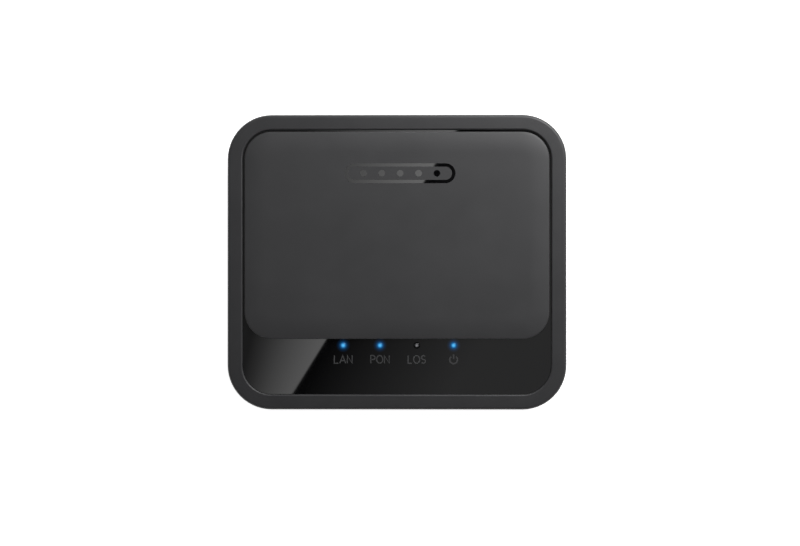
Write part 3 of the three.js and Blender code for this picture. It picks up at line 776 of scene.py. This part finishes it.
def snap_hooks(head):
    """Two hooks on the lip that reach out towards the base's front wall."""
    back, face, nose = -34.4, -36.1, -36.8
    foot, nose_low, nose_high, neck = 9.7, 10.2, 10.5, 11.3
    profile = [(face, foot), (back, foot), (back, head), (face, head)]
    profile += [(face, neck), (nose, nose_high), (nose, nose_low)]
    hooks = []
    for s in SIDES:
        ends = (s * SNAP_X - SNAP_HALF, s * SNAP_X + SNAP_HALF)
        hooks.append(loft([[(x, y, z) for y, z in profile] for x in ends]))
    return hooks


def ceiling_holes():
    """Holes for the plate's pegs and the light guides, and the screws' blind holes in the bosses."""
    through = (CEILING - PAST, RECESS_FLOOR + PAST)
    sockets = [rod(x, y, PEG + PEG_SLACK, *through) for x, y in peg_places()]
    guides = [rod(at.x, at.y, GUIDE_HOLE, *through) for at in guide_places()]
    holes = [rod(s * SCREW_X, SCREW_Y, SCREW_HOLE, PILLAR_TOP, SCREW_HOLE_TOP) for s in SIDES]
    return sockets + guides + holes


def make_housing():
    """The upper half: sides, rim and recess outside; walls, lip, bosses and snap hooks inside."""
    low = SEAM + SEAM_GAP
    lip_low = low - LIP_DROP
    lip_high = low + LIP_RISE
    lip_out = WALL + LIP_SLACK
    lip_in = WALL + LIP_DEPTH
    rings = [
        case_ring(WALL + INNER_ROUND, CEILING),
        case_ring(WALL, CEILING - INNER_ROUND),
        case_ring(WALL, lip_high),
        case_ring(lip_in, lip_high),
        case_ring(lip_in, lip_low),
        case_ring(lip_out + LIP_CHAMFER, lip_low),
        case_ring(lip_out, lip_low + LIP_CHAMFER),
        case_ring(lip_out, low),
        case_ring(SEAM_EDGE, low),
        case_ring(0, low + SEAM_EDGE),
        case_ring(0, (low + TOP) / 2),
    ]
    rings += [case_ring(TOP_ROUND * out, TOP - TOP_ROUND + TOP_ROUND * up) for up, out in quarter()]
    for up, out in reversed(quarter()):
        rings.append(straight_ring(RIM - RIM_BEVEL * out, TOP - RIM_BEVEL + RIM_BEVEL * up))
    rings.append(straight_ring(RIM, RECESS_FLOOR + RECESS_FILLET))
    rings.append(straight_ring(RIM + RECESS_FILLET, RECESS_FLOOR))
    boss = lathe([(BOSS, PILLAR_TOP + SEAM_GAP), (BOSS, CEILING + BITE)], steps=32)
    bosses = [moved(boss, s * SCREW_X, SCREW_Y) for s in SIDES]
    lip_end = block(-HALF_X, HALF_X, LIP_END, HALF_Y, lip_low - PAST, low)
    steps = join(group(bay_wall(low, CEILING + BITE), *bosses, *snap_hooks(lip_high - 0.1)))
    steps += cut(lip_end, *bay_tools(), group(*ceiling_holes()))
    piece("upper_case", loft(rings), "case_matt", steps, ["top_housing"])


def make_base():
    """The lower half of the case, with its posts and pillars, its vents and what its underside holds."""
    outer = [case_ring(BOTTOM_ROUND * (1 - up), UNDERSIDE + BOTTOM_ROUND * out) for up, out in quarter(8)]
    outer += [case_ring(0, SEAM - SEAM_EDGE), case_ring(SEAM_EDGE, SEAM)]
    inner = [case_ring(WALL, SEAM), case_ring(WALL, FLOOR + INNER_ROUND)]
    inner.append(case_ring(WALL + INNER_ROUND, FLOOR))
    profile = [(PILLAR, UNDERSIDE), (PILLAR, PILLAR_STEP)]
    profile += [(PILLAR_NECK, PILLAR_STEP), (PILLAR_NECK, PILLAR_TOP)]
    pillar = lathe(profile, steps=32)
    foot = FLOOR - BITE
    posts = [bay_wall(foot, SEAM)]
    for s in SIDES:
        for x, y, radius in BOARD_POSTS:
            post = lathe([(radius, foot), (radius, BOARD_UNDERSIDE - BOARD_GAP)], steps=32)
            posts.append(moved(post, s * x, y))
        posts.append(moved(pillar, s * SCREW_X, SCREW_Y))
    steps = join(group(*posts)) + [("INTERSECT", loft(outer))]
    steps += cut(*bay_tools(), *side_vents(), *underside())
    piece("lower_case", loft(outer + inner), "case_matt", steps, ["base_shell"])


def slot_outline(u0, u1, v0, v1):
    """A slot with round ends."""
    radius = min(u1 - u0, v1 - v0) / 2
    return rect(u0, u1, v0, v1, radius - 0.01, steps=6)


def side_vents():
    """Upright slots in each side wall. Their flared mouths lean with the wall."""
    centre = (SIDE_VENT_LOW + SIDE_VENT_HIGH) / 2
    face = wall_face(centre)
    stops = ((0, face - SIDE_VENT_DEPTH), (0, face - VENT_EDGE), (VENT_EDGE + PAST, face + PAST))
    tools = []
    for s in SIDES:
        for i in range(SIDE_VENTS):
            y = SIDE_VENT_Y + (i - (SIDE_VENTS - 1) / 2) * VENT_PITCH
            outline = slot_outline(y - VENT_HALF, y + VENT_HALF, SIDE_VENT_LOW, SIDE_VENT_HIGH)
            rings = []
            for grow, out in stops:
                rings.append([(s * (out + TAPER * (v - centre)), u, v) for u, v in outline(grow)])
            tools.append(loft(rings))
    return [group(*tools)]


def keyhole(x, y):
    """A round hole with a narrow slot that runs from it towards the front."""
    def outline(grow):
        head = KEYHOLE_HEAD + grow
        slot = KEYHOLE_SLOT + grow
        meet = math.degrees(math.asin(slot / head))
        return arc(x, y, head, -90 + meet, 270 - meet, 30) + arc(x, y - KEYHOLE_LENGTH, slot, 180, 360)
    return outline


def underside():
    """Floor vents, keyholes, seats for the feet and the label, and the screws' wells and ways."""
    columns = [(i - (FLOOR_VENTS - 1) / 2) * VENT_PITCH for i in range(FLOOR_VENTS)]
    posts = [x for x, y, _ in BOARD_POSTS if FLOOR_VENT_LOW < y < FLOOR_VENT_HIGH]
    clear = [x for x in columns if all(abs(abs(x) - post) > POST_CLEARANCE for post in posts)]
    holes = [slot_outline(x - VENT_HALF, x + VENT_HALF, FLOOR_VENT_LOW, FLOOR_VENT_HIGH) for x in clear]
    holes += [keyhole(s * KEYHOLE_X, 0) for s in SIDES]
    tools = [mouth(hole, FLOOR + PAST, UNDERSIDE, VENT_EDGE) for hole in holes]
    seats = [disc(s * FOOT_X, y, FOOT_SEAT, steps=40) for s in SIDES for y in (-FOOT_Y, FOOT_Y)]
    tools += [mouth(seat, FOOT_SEAT_TOP, UNDERSIDE, 0.15) for seat in seats]
    wells = [disc(s * SCREW_X, SCREW_Y, SCREW_WELL) for s in SIDES]
    tools += [mouth(well, SCREW_SEAT + 0.1, UNDERSIDE, 0.2) for well in wells]
    x, y = BOARD_SCREW
    tools += [rod(s * x, y, PILOT, FLOOR + BITE, PILOT_TOP, steps=16) for s in SIDES]
    low, high = mm_box("rating_label")
    slack = LABEL_SLACK
    seat = rect(low.x - slack, high.x + slack, low.y - slack, high.y + slack, LABEL_CORNER + 0.2, steps=6)
    tools.append(mouth(seat, high.z + 0.05, UNDERSIDE, 0.1))
    ways = [rod(s * SCREW_X, SCREW_Y, SCREW_WAY, SCREW_SEAT - PAST, PILLAR_TOP + PAST) for s in SIDES]
    return [group(*tools), group(*ways)]


def make_deck():
    """The gloss deck, with a window for each light guide and a socket for each of the plate's pegs."""
    corner = CORNER - RIM - DECK_GAP
    plain = rect(DECK_LOW.x, DECK_HIGH.x, DECK_LOW.y, DECK_HIGH.y, corner, CORNER_STEPS)
    slab = eased(lambda grow: plain(grow + DECK_GROW), DECK_LOW.z, DECK_HIGH.z, DECK_EDGE)
    below = DECK_LOW.z - PAST
    holes = [disc(at.x, at.y, WINDOW) for at in guide_places()]
    windows = [mouth(hole, below, DECK_HIGH.z, WINDOW_EDGE, past=0.8) for hole in holes]
    sockets = [rod(x, y, PEG + PEG_SLACK, below, DECK_HIGH.z + PAST) for x, y in peg_places()]
    piece("deck", slab, "gloss_black", cut(group(*windows, *sockets)), ["gloss_panel"])


def make_plate():
    """A plate whose top falls away gently towards its edges and ends in a small round."""
    outline = rect(PLATE_LOW.x, PLATE_HIGH.x, PLATE_LOW.y, PLATE_HIGH.y, PLATE_CORNER, CORNER_STEPS)
    stops = [(-PLATE_CHAMFER, PLATE_BOTTOM), (0, PLATE_BOTTOM + PLATE_CHAMFER)]
    slope = 2 * CROWN_DROP / CROWN_WIDTH
    shoulder = PLATE_TOP - CROWN_DROP - PLATE_ROUND
    for i in range(ROUND_STEPS + 1):
        lean = (math.pi / 2 - math.atan(slope)) * i / ROUND_STEPS
        stops.append((PLATE_ROUND * (math.cos(lean) - 1), shoulder + PLATE_ROUND * math.sin(lean)))
    start, height = stops[-1]
    rise = PLATE_TOP - height
    for i in range(1, CROWN_STEPS + 1):
        share = i / CROWN_STEPS
        stops.append((start - CROWN_WIDTH * share, height + rise * (1 - (1 - share) ** 2)))
    tip = PLATE_LOW.z
    profile = [(PEG - PEG_CHAMFER, tip), (PEG, tip + PEG_CHAMFER), (PEG, PLATE_BOTTOM + 0.4)]
    pegs = [moved(lathe(profile, steps=24), x, y) for x, y in peg_places()]
    piece("cover_plate", stack(outline, stops), "plate_matt", join(group(*pegs)), ["top_plate"])


# ---- print
def glyphs():
    """The strokes of each letter one unit high, and its width."""
    upper = arc(0.27, 0.745, 0.25, 30, 270)
    lower = arc(0.27, 0.255, 0.25, 90, -150)
    return {
        "A": ([[(0, 0), (0.38, 1), (0.76, 0)], [(0.14, 0.34), (0.62, 0.34)]], 0.76),
        "L": ([[(0, 1), (0, 0), (0.5, 0)]], 0.5),
        "N": ([[(0, 0), (0, 1), (0.62, 0), (0.62, 1)]], 0.62),
        "O": ([arc(0.39, 0.5, 0.39, 0, 345, 23, squash=1.28)], 0.78),
        "P": ([[(0, 0), (0, 1), (0.28, 1)] + arc(0.28, 0.73, 0.27, 90, -90, 10) + [(0, 0.46)]], 0.55),
        "S": ([upper + lower[1:]], 0.54),
    }


def make_word(name, word, x, y, low, high):
    """A generic function label in thin capitals, centred at x, y."""
    letters = [glyphs()[letter] for letter in word]
    total = sum(width * WORD_HEIGHT for _, width in letters) + WORD_GAP * (len(word) - 1)
    left = x - total / 2
    shapes = []
    extra = []
    for letter, (strokes, width) in zip(word, letters):
        for k, path in enumerate(strokes):
            line = [(left + u * WORD_HEIGHT, y + (v - 0.5) * WORD_HEIGHT) for u, v in path]
            (extra if k else shapes).append(band(line, WORD_STROKE, low, high, letter == "O"))
        left += width * WORD_HEIGHT + WORD_GAP
    piece(name, group(*shapes), "print_grey", join(*extra))


def make_print():
    """The function labels in front of the indicators, and a plain mark on the plate."""
    low = DECK_HIGH.z
    high = low + INK
    row = middle("light_pipe_lan").y - WORD_ROW
    for name in ("lan", "pon", "los"):
        make_word("label_" + name, name.upper(), middle("light_pipe_" + name).x, row, low, high)
    x = middle("light_pipe_power").x
    start = 90 + SYMBOL_GAP / 2
    circuit = arc(x, row - 0.1, SYMBOL_RADIUS, start, start + 360 - SYMBOL_GAP, 30)
    ring = band(circuit, SYMBOL_STROKE, low, high)
    tick = band([(x, row + 0.1), (x, row + SYMBOL_TICK)], SYMBOL_STROKE, low, high)
    piece("label_power", group(ring, tick), "print_grey")
    make_mark()


def make_mark():
    """A plain gloss mark: a long ring with dots in it."""
    low = PLATE_TOP - 0.004
    high = PLATE_HIGH.z - 0.002
    bend = MARK_RISE - MARK_STROKE / 2
    side = MARK_HALF - MARK_RISE
    path = arc(MARK_X + side, MARK_Y, bend, -90, 90, 16) + arc(MARK_X - side, MARK_Y, bend, 90, 270, 16)
    dots = [rod(MARK_X + step, MARK_Y, MARK_DOT, low, high, steps=32) for step in MARK_STEPS]
    piece("plate_mark", group(band(path, MARK_STROKE, low, high, True), *dots), "gloss_black")


# ---- feet, screws and label
def make_feet():
    """Four round rubber feet, each with a dimple in the middle of its sole."""
    flat = FOOT_RADIUS - FOOT_ROUND
    profile = [(0.9, 0.25), (1.1, 0), (flat, 0)]
    profile += [(flat + FOOT_ROUND * up, FOOT_ROUND * out) for up, out in quarter()[1:]]
    profile += [(FOOT_RADIUS, FOOT_TOP - 0.1), (FOOT_RADIUS - 0.1, FOOT_TOP)]
    for end in ("front", "rear"):
        for side in ("left", "right"):
            name = f"foot_{end}_{side}"
            at = middle(name)
            piece("pad_" + name, moved(lathe(profile), at.x, at.y), "foot_rubber", (), [name])


def screw_shape():
    """A pan-head screw that points up, the underside of its head at z = 0, with a fine thread."""
    profile = []
    for up, out in quarter():
        profile.append((SCREW_HEAD * (0.5 + 0.5 * up) - 0.02, -SCREW_HEAD_HEIGHT * (1 - out * 0.55)))
    profile += [(SCREW_HEAD, -SCREW_HEAD_HEIGHT * 0.35), (SCREW_HEAD, -0.1), (SCREW_HEAD - 0.1, 0)]
    profile.append((SCREW_SHANK, 0))
    for i in range(int((SCREW_LENGTH - 1.4) / THREAD_PITCH)):
        start = 0.4 + i * THREAD_PITCH
        profile.append((THREAD_ROOT, start))
        profile.append((SCREW_SHANK, start + THREAD_PITCH * 0.45))
        profile.append((THREAD_ROOT, start + THREAD_PITCH * 0.9))
    profile += [(THREAD_ROOT, SCREW_LENGTH - 0.9), (SCREW_SHANK * 0.3, SCREW_LENGTH)]
    return lathe(profile, steps=36)


def cross_recess():
    """The tapered cross that a driver fits."""
    long = SCREW_HEAD * 0.58
    thin = SCREW_HEAD * 0.13
    stops = [(-thin * 0.45, -SCREW_HEAD_HEIGHT * 0.35), (thin * 0.25, -SCREW_HEAD_HEIGHT - 0.6)]
    return [stack(rect(-u, u, -v, v), stops) for u, v in ((long, thin), (thin, long))]


def make_screws():
    for side in ("left", "right"):
        name = "case_screw_" + side
        at = middle(name)
        lift = mm_box(name)[0].z + SCREW_HEAD_HEIGHT
        tools = [moved(tool, at.x, at.y, lift) for tool in cross_recess()]
        body = moved(screw_shape(), at.x, at.y, lift)
        piece(name + "_threaded", body, "steel", cut(*tools), [name])


def make_label():
    """A blank film with ruled fields and no lettering."""
    low, high = mm_box("rating_label")
    film = eased(rect(low.x, high.x, low.y, high.y, LABEL_CORNER, steps=6), low.z, high.z, 0.03)
    piece("label_film", film, "label_film", (), ["rating_label"])
    top = low.z
    bottom = top - RULE_INK
    inset = 1.4
    x0, x1 = low.x + inset, high.x - inset
    y0, y1 = low.y + inset, high.y - inset
    rules = [band(corners(x0, x1, y0, y1, 0.8, steps=4), FRAME_RULE, bottom, top, True)]
    square = 9.5
    rows = 6
    for i in range(1, rows):
        y = y0 + (y1 - y0) * i / rows
        rules.append(band([(x0 + 0.6, y), (x1 - square - 1.6, y)], RULE, bottom, top))
    y = (y0 + y1) / 2
    path = corners(x1 - square - 0.4, x1 - 0.9, y - square / 2, y + square / 2, 0.5, steps=4)
    rules.append(band(path, FRAME_RULE, bottom, top, True))
    piece("label_rules", group(*rules), "print_grey")


# ---- light guides
def make_guides():
    """Light guides, each with a collar and a domed tip."""
    dome = 0.12
    for name in INDICATORS:
        node_name = "light_pipe_" + name
        at = middle(node_name)
        low, high = mm_box(node_name)
        top = COLLAR_BOTTOM + COLLAR_HEIGHT
        profile = [(GUIDE - 0.1, low.z), (GUIDE, low.z + 0.1), (GUIDE, COLLAR_BOTTOM)]
        profile += [(GUIDE_COLLAR, COLLAR_BOTTOM), (GUIDE_COLLAR, top), (GUIDE, top)]
        profile += [(GUIDE, GUIDE_SHOULDER - 0.15), (GUIDE - 0.15, GUIDE_SHOULDER), (TIP, GUIDE_SHOULDER)]
        for up, _ in quarter(5)[:-1]:
            profile.append((TIP * math.cos(math.asin(up)), high.z - dome + dome * up))
        profile.append((0.08, high.z))
        slot = "indicator_lit" if name in LIT else "indicator_unlit"
        shape = moved(lathe(profile, steps=40), at.x, at.y)
        piece("guide_" + name, shape, slot, (), [node_name])


# ---- optical port
def make_optical_port():
    """The coupling, with its keyed socket and two hooks for the plug, and the ferrule's tube."""
    low, high = mm_box("pon_adapter")
    sleeve = middle("ferrule_sleeve")
    x, z = sleeve.x, sleeve.z
    half_x = (high.x - low.x) / 2 - FLANGE
    half_z = (high.z - low.z - FLANGE) / 2
    face = high.y
    back = face - PLUG_DEPTH
    sides = rect(x - half_x, x + half_x, z - half_z, z + half_z, 0.5)
    flange = eased(rect(low.x, high.x, low.z, high.z, 0.4), FLANGE_FRONT, BAY_INNER - PORT_SLACK, 0.15)
    plug = rect(x - PLUG_HALF_X, x + PLUG_HALF_X, z - PLUG_HALF_Z, z + PLUG_HALF_Z, 0.3)
    key = rect(x - PLUG_KEY_HALF, x + PLUG_KEY_HALF, z, z + PLUG_KEY_TOP, 0.15)
    bore = rod(x, z, 2.6, low.y - PAST, back + 0.5, steps=32)
    profile = [(4.8, back - 0.2), (2.9, back - 0.2), (2.9, face - 5.4), (3.5, face - 4.4)]
    profile += [(3.5, face - 5.9), (3.9, face - 6.3), (3.9, face - 10.9), (4.8, face - 10.9)]
    hooks = []
    for s in SIDES:
        hooks.append(loft([[(x + s * u, y, z + v) for u, y in profile] for v in (-1.6, 1.6)]))
    steps = join(to_back(flange))
    steps += cut(to_back(mouth(plug, back, face, 0.45)), to_back(mouth(key, back, face)), to_back(bore))
    steps += join(group(*hooks))
    body = to_back(eased(sides, low.y, high.y, 0.25))
    piece("optical_coupling", body, "port_green", steps, ["pon_adapter"])
    low, high = mm_box("ferrule_sleeve")
    radius = (high.z - low.z) / 2
    tube = [(radius, low.y), (radius, high.y - 0.25), (radius - 0.25, high.y), (1.55, high.y)]
    tube += [(1.26, high.y - 0.3), (1.26, low.y + 3)]
    shape = moved(to_back(lathe(tube)), x, 0, z)
    piece("ferrule_tube", shape, "ceramic_white", (), ["ferrule_sleeve"])


# ---- network jack
def make_network_jack():
    """The jack's sheet shell, dimpled at the sides, with its block and wires."""
    low, high = mm_box("lan_jack_shield")
    x = (low.x + high.x) / 2
    outer = to_back(stack(rect(low.x, high.x, low.z, high.z, 0.5), [(0, low.y), (0, high.y)]))
    hollow = rect(low.x + SHEET, high.x - SHEET, low.z - PAST, high.z - SHEET, 0.2)
    inside = to_back(stack(hollow, [(0, low.y + SHEET), (0, high.y + PAST)]))
    dimples = []
    for s in SIDES:
        face = x + s * (high.x - low.x) / 2
        for z in (12.2, 17.8):
            slit = rect(high.y - 9, high.y - 3.2, z - 1.1, z + 1.1, 0.3)
            dimples.append(to_side(stack(slit, [(0, face - s * 0.12), (0, face + s * PAST)])))
    piece("jack_shell", outer, "steel", cut(inside, group(*dimples)), ["lan_jack_shield"])
    make_jack_insert(x)
    make_jack_wires(x)


def make_jack_insert(x):
    """The plastic block with the plug's socket, the latch's slots and a groove for each wire."""
    low, high = mm_box("lan_jack_insert")
    face = high.y
    back = face + 0.1 - JACK_DEPTH
    front = back + 4
    body = to_back(eased(rect(low.x, high.x, low.z, high.z, 0.2), low.y, high.y, 0.15))
    socket = mouth(rect(x - JACK_HALF, x + JACK_HALF, JACK_FLOOR, JACK_ROOF, 0.15), back, face, 0.35)
    sill = JACK_FLOOR + PAST
    latch = rect(x - LATCH_HALF, x + LATCH_HALF, JACK_FLOOR - 1.5, sill, 0.1)
    slot = rect(x - LATCH_SLOT_HALF, x + LATCH_SLOT_HALF, JACK_FLOOR - 2.2, sill, 0.1)
    latches = [to_back(mouth(outline, front, face, 0.2)) for outline in (latch, slot)]
    grooves = []
    for step in wire_steps():
        left = x + step - GROOVE_HALF
        right = x + step + GROOVE_HALF
        grooves.append(to_back(block(left, right, JACK_ROOF - 0.5, JACK_ROOF + 0.35, back, face - 1.2)))
    steps = cut(to_back(socket), *latches, group(*grooves))
    piece("jack_block", body, "port_black", steps, ["lan_jack_insert"])


def wire_steps():
    return [(i - (WIRES - 1) / 2) * WIRE_PITCH for i in range(WIRES)]


def make_jack_wires(x):
    """Sprung wires that rise towards the socket's roof from back to front, on one rail."""
    low, high = mm_box("lan_jack_contacts")
    back = low.y
    path = [(back, JACK_ROOF - 1.15), (back + 1.4, JACK_ROOF - 1.1), (back + 3.4, JACK_ROOF - 0.95)]
    path += [(back + 8.4, JACK_ROOF - 0.25), (back + 9.4, JACK_ROOF - 0.1)]
    wires = []
    for step in wire_steps():
        at = x + step
        wires.append(to_side(band(path, WIRE_THICKNESS, at - WIRE_HALF, at + WIRE_HALF)))
    rail = block(x - 4.2, x + 4.2, back, back + 0.5, low.z + 0.05, high.z - 0.1)
    piece("jack_wires", group(*wires), "gold_plate", join(rail), ["lan_jack_contacts"])


# ---- power inlet and keys
def make_inlet():
    """The inlet's round socket, and the pin in it."""
    low, high = mm_box("dc_inlet_body")
    pin = middle("dc_inlet_pin")
    x, z = pin.x, pin.z
    front = BAY_INNER - PORT_SLACK
    floor = high.y - INLET_DEPTH
    body = to_back(eased(rect(low.x, high.x, low.z, high.z, 0.3), low.y, front, 0.2))
    profile = [(INLET_COLLAR, front - PAST), (INLET_COLLAR, high.y - 0.3)]
    profile += [(INLET_COLLAR - 0.3, high.y), (INLET_BORE + 0.1, high.y)]
    tube = moved(to_back(lathe(profile)), x, 0, z)
    bore = to_back(mouth(disc(x, z, INLET_BORE, steps=48), floor, high.y, 0.25))
    root = to_back(rod(x, z, INLET_PIN + 0.1, floor - 2, floor + PAST))
    leaf = to_back(block(x - 1.4, x + 1.4, z - 4.1, z, floor, front - 0.6))
    piece("inlet_socket", body, "port_black", join(tube) + cut(bore, root, leaf), ["dc_inlet_body"])
    low, high = mm_box("dc_inlet_pin")
    nose = 0.8
    profile = [(INLET_PIN, low.y), (INLET_PIN, high.y - nose)]
    for up, _ in quarter(5)[1:-1]:
        profile.append((INLET_PIN * math.cos(math.asin(up)), high.y - nose + nose * up))
    profile.append((0.12, high.y))
    shape = moved(to_back(lathe(profile, steps=32)), x, 0, z)
    piece("inlet_centre", shape, "steel", (), ["dc_inlet_pin"])


def make_power_cap():
    """The power key: a round knob with a dished face, on a square stem."""
    low, high = mm_box("power_button")
    radius = (high.x - low.x) / 2
    at = middle("power_button")
    profile = [(radius - 0.2, KEY_FRONT), (radius, KEY_FRONT + 0.2)]
    profile += [(radius - KEY_ROUND * out, high.y - KEY_ROUND + KEY_ROUND * up) for up, out in quarter()]
    for i in range(1, KEY_DISH_STEPS + 1):
        share = 1 - i / KEY_DISH_STEPS
        profile.append(((radius - KEY_ROUND) * share + 0.05, high.y - KEY_DISH * (1 - share**2)))
    knob = moved(to_back(lathe(profile, steps=56)), at.x, 0, at.z)
    half = KEY_STEM_HALF
    stem = block(at.x - half, at.x + half, low.y, KEY_FRONT + BITE, at.z - half, at.z + half)
    piece("power_cap", knob, "key_black", join(stem), ["power_button"], "power_key")


def make_reset_cap():
    """The reset key: a thin plunger with a shallow cup in its end."""
    low, high = mm_box("reset_button")
    at = middle("reset_button")
    radius = (high.x - low.x) / 2
    edge = 0.3
    profile = [(radius - 0.1, low.y), (radius, low.y + 0.1)]
    profile += [(radius - edge * out, high.y - edge + edge * up) for up, out in quarter(4)]
    profile += [(0.9, high.y), (0.6, high.y - 0.2), (0.1, high.y - 0.25)]
    shape = moved(to_back(lathe(profile, steps=40)), at.x, 0, at.z)
    piece("reset_cap", shape, "key_white", (), ["reset_button"], "reset_key")


# ---- CAD nodes that stay as they are
def finish_cad_nodes():
    """The remaining CAD nodes keep their meshes and get their finish and softened edges."""
    slots = {row["node"]: row["material_slot"] for row in frame["record"]["subparts"]}
    for name, made in frame["nodes"].items():
        if made.hide_render:
            continue
        made.data.materials.clear()
        made.data.materials.append(FINISHES[slots[name]])
        modify(made, "WELD", merge_threshold=CAD_WELD * MM)
        modify(made, "DECIMATE", decimate_type="DISSOLVE", angle_limit=math.radians(1))
        modify(made, "BEVEL", width=CAD_BEVEL * MM, segments=2, limit_method="ANGLE", angle_limit=CREASE)
        modify(made, "WEIGHTED_NORMAL", keep_sharp=True)


# ---- the stage
def plane(name, size, at):
    half = size / 2
    points = [(-half, -half, 0), (half, -half, 0), (half, half, 0), (-half, half, 0)]
    mesh = bpy.data.meshes.new(name)
    mesh.from_pydata(points, [], [(0, 1, 2, 3)])
    made = add_object(name, mesh)
    made.location = at
    return made


def make_floor():
    """A near-white floor that gives off light of its own, as a lit backdrop does."""
    floor = plane("floor", FLOOR_SIZE, (0, 0, -FLOOR_DROP * MM))
    finish, tree, shader = new_finish("floor")
    matt = {"Base Color": (FLOOR_WHITE, FLOOR_WHITE, FLOOR_WHITE, 1), "Roughness": 0.9}
    fill(tree, shader, matt)
    lit = {"Specular IOR Level": 0, "Emission Color": (1, 1, 1, 1), "Emission Strength": FLOOR_LIGHT}
    fill(tree, shader, lit)
    floor.data.materials.append(finish)


def panel_light(tree, x, y, beyond):
    """The bright panel, which fades from its straight edge towards its dim side."""
    dim = calc(tree, "ADD", calc(tree, "MULTIPLY", y, PANEL_SIDE[1]), PANEL_SIDE[0])
    edge = calc(tree, "SUBTRACT", x, calc(tree, "DIVIDE", beyond, EDGE_NORMAL[0]))
    width = calc(tree, "SUBTRACT", edge, dim)
    share = calc(tree, "DIVIDE", calc(tree, "SUBTRACT", x, dim), width)
    level = ramp(tree, share, [(position, (light, light, light)) for position, light in PANEL_LIGHT])
    gain = calc(tree, "ADD", calc(tree, "MULTIPLY", y, PANEL_GAIN[1]), PANEL_GAIN[0])
    return calc(tree, "MULTIPLY", level, gain)


def make_card():
    """What the gloss deck mirrors: a bright soft panel with a straight edge, and the dim room beyond it.
    The card hangs over the deck, enlarged so that a millimetre of its own shows as one on the deck."""
    deck = DECK_HIGH.z
    distance = CAMERA_HEIGHT - deck
    scale = (1 + CARD_LIFT / distance) * MM
    card = plane("card", CARD_SIZE, Vector((CAMERA_X, CAMERA_Y, deck + CARD_LIFT)) * MM)
    card.scale = (scale, scale, 1)
    for seen in ("visible_camera", "visible_diffuse", "visible_shadow", "visible_transmission"):
        setattr(card, seen, False)
    finish = bpy.data.materials.new("card")
    finish.use_nodes = True
    tree = finish.node_tree
    tree.nodes.clear()
    apart = node(tree, "SeparateXYZ", {"Vector": place(tree)})
    x = calc(tree, "ADD", apart.outputs["X"], CAMERA_X)
    y = calc(tree, "ADD", apart.outputs["Y"], CAMERA_Y)
    across = calc(tree, "MULTIPLY", calc(tree, "SUBTRACT", x, EDGE_X), EDGE_NORMAL[0])
    down = calc(tree, "MULTIPLY", calc(tree, "SUBTRACT", y, EDGE_Y), EDGE_NORMAL[1])
    beyond = calc(tree, "ADD", across, down)
    room = remap(tree, beyond, 0, ROOM_REACH, ROOM_LIGHT[0], ROOM_LIGHT[1])
    side = remap(tree, beyond, -EDGE_SOFTNESS, EDGE_SOFTNESS, 0, 1)
    levels = {"Factor": side, "A": panel_light(tree, x, y, beyond), "B": room}
    level = node(tree, "Mix", levels, data_type="FLOAT")
    light = node(tree, "Emission", {"Strength": level.outputs["Result"]})
    node(tree, "OutputMaterial", {"Surface": light.outputs["Emission"]})
    card.data.materials.append(finish)
    mirrors = bpy.data.collections.new("mirrors")
    for name in ("deck", "plate_mark"):
        mirrors.objects.link(bpy.data.objects[name])
    card.light_linking.receiver_collection = mirrors


def make_world():
    """A room that is bright near the floor and dim overhead."""
    world = bpy.data.worlds.new("studio")
    world.use_nodes = True
    tree = world.node_tree
    way = node(tree, "TexCoord").outputs["Generated"]
    up = node(tree, "SeparateXYZ", {"Vector": way}).outputs["Z"]
    light = remap(tree, up, 0, ZENITH_START, HORIZON_LIGHT, ZENITH_LIGHT)
    tree.links.new(light, tree.nodes["Background"].inputs["Strength"])
    tree.nodes["Background"].inputs["Color"].default_value = (1, 1, 1, 1)
    bpy.context.scene.world = world


def make_key():
    """A soft light over the rear right corner."""
    data = bpy.data.lights.new("key", "AREA")
    data.shape = "SQUARE"
    data.size = KEY_SIZE
    data.energy = KEY_LIGHT
    key = add_object("key", data)
    key.location = KEY_PLACE
    aim = Vector((0, 0, TOP * MM)) - key.location
    key.rotation_euler = aim.to_track_quat("-Z", "Y").to_euler()


def make_camera():
    """A long lens that looks almost straight down."""
    data = bpy.data.cameras.new("camera")
    data.lens = LENS
    data.sensor_width = SENSOR
    camera = add_object("camera", data)
    camera.location = Vector((CAMERA_X, CAMERA_Y, CAMERA_HEIGHT)) * MM
    drop = CAMERA_HEIGHT - TOP
    aim_x, aim_y = CAMERA_AIM
    camera.rotation_euler = ((aim_y - CAMERA_Y) / drop, (CAMERA_X - aim_x) / drop, 0)
    bpy.context.scene.camera = camera


make_housing()
make_base()
make_deck()
make_plate()
make_print()
make_feet()
make_screws()
make_label()
make_guides()
make_optical_port()
make_network_jack()
make_inlet()
make_power_cap()
make_reset_cap()
finish_cad_nodes()
make_floor()
make_card()
make_world()
make_key()
make_camera()
bpy.context.scene.view_settings.view_transform = "Standard"
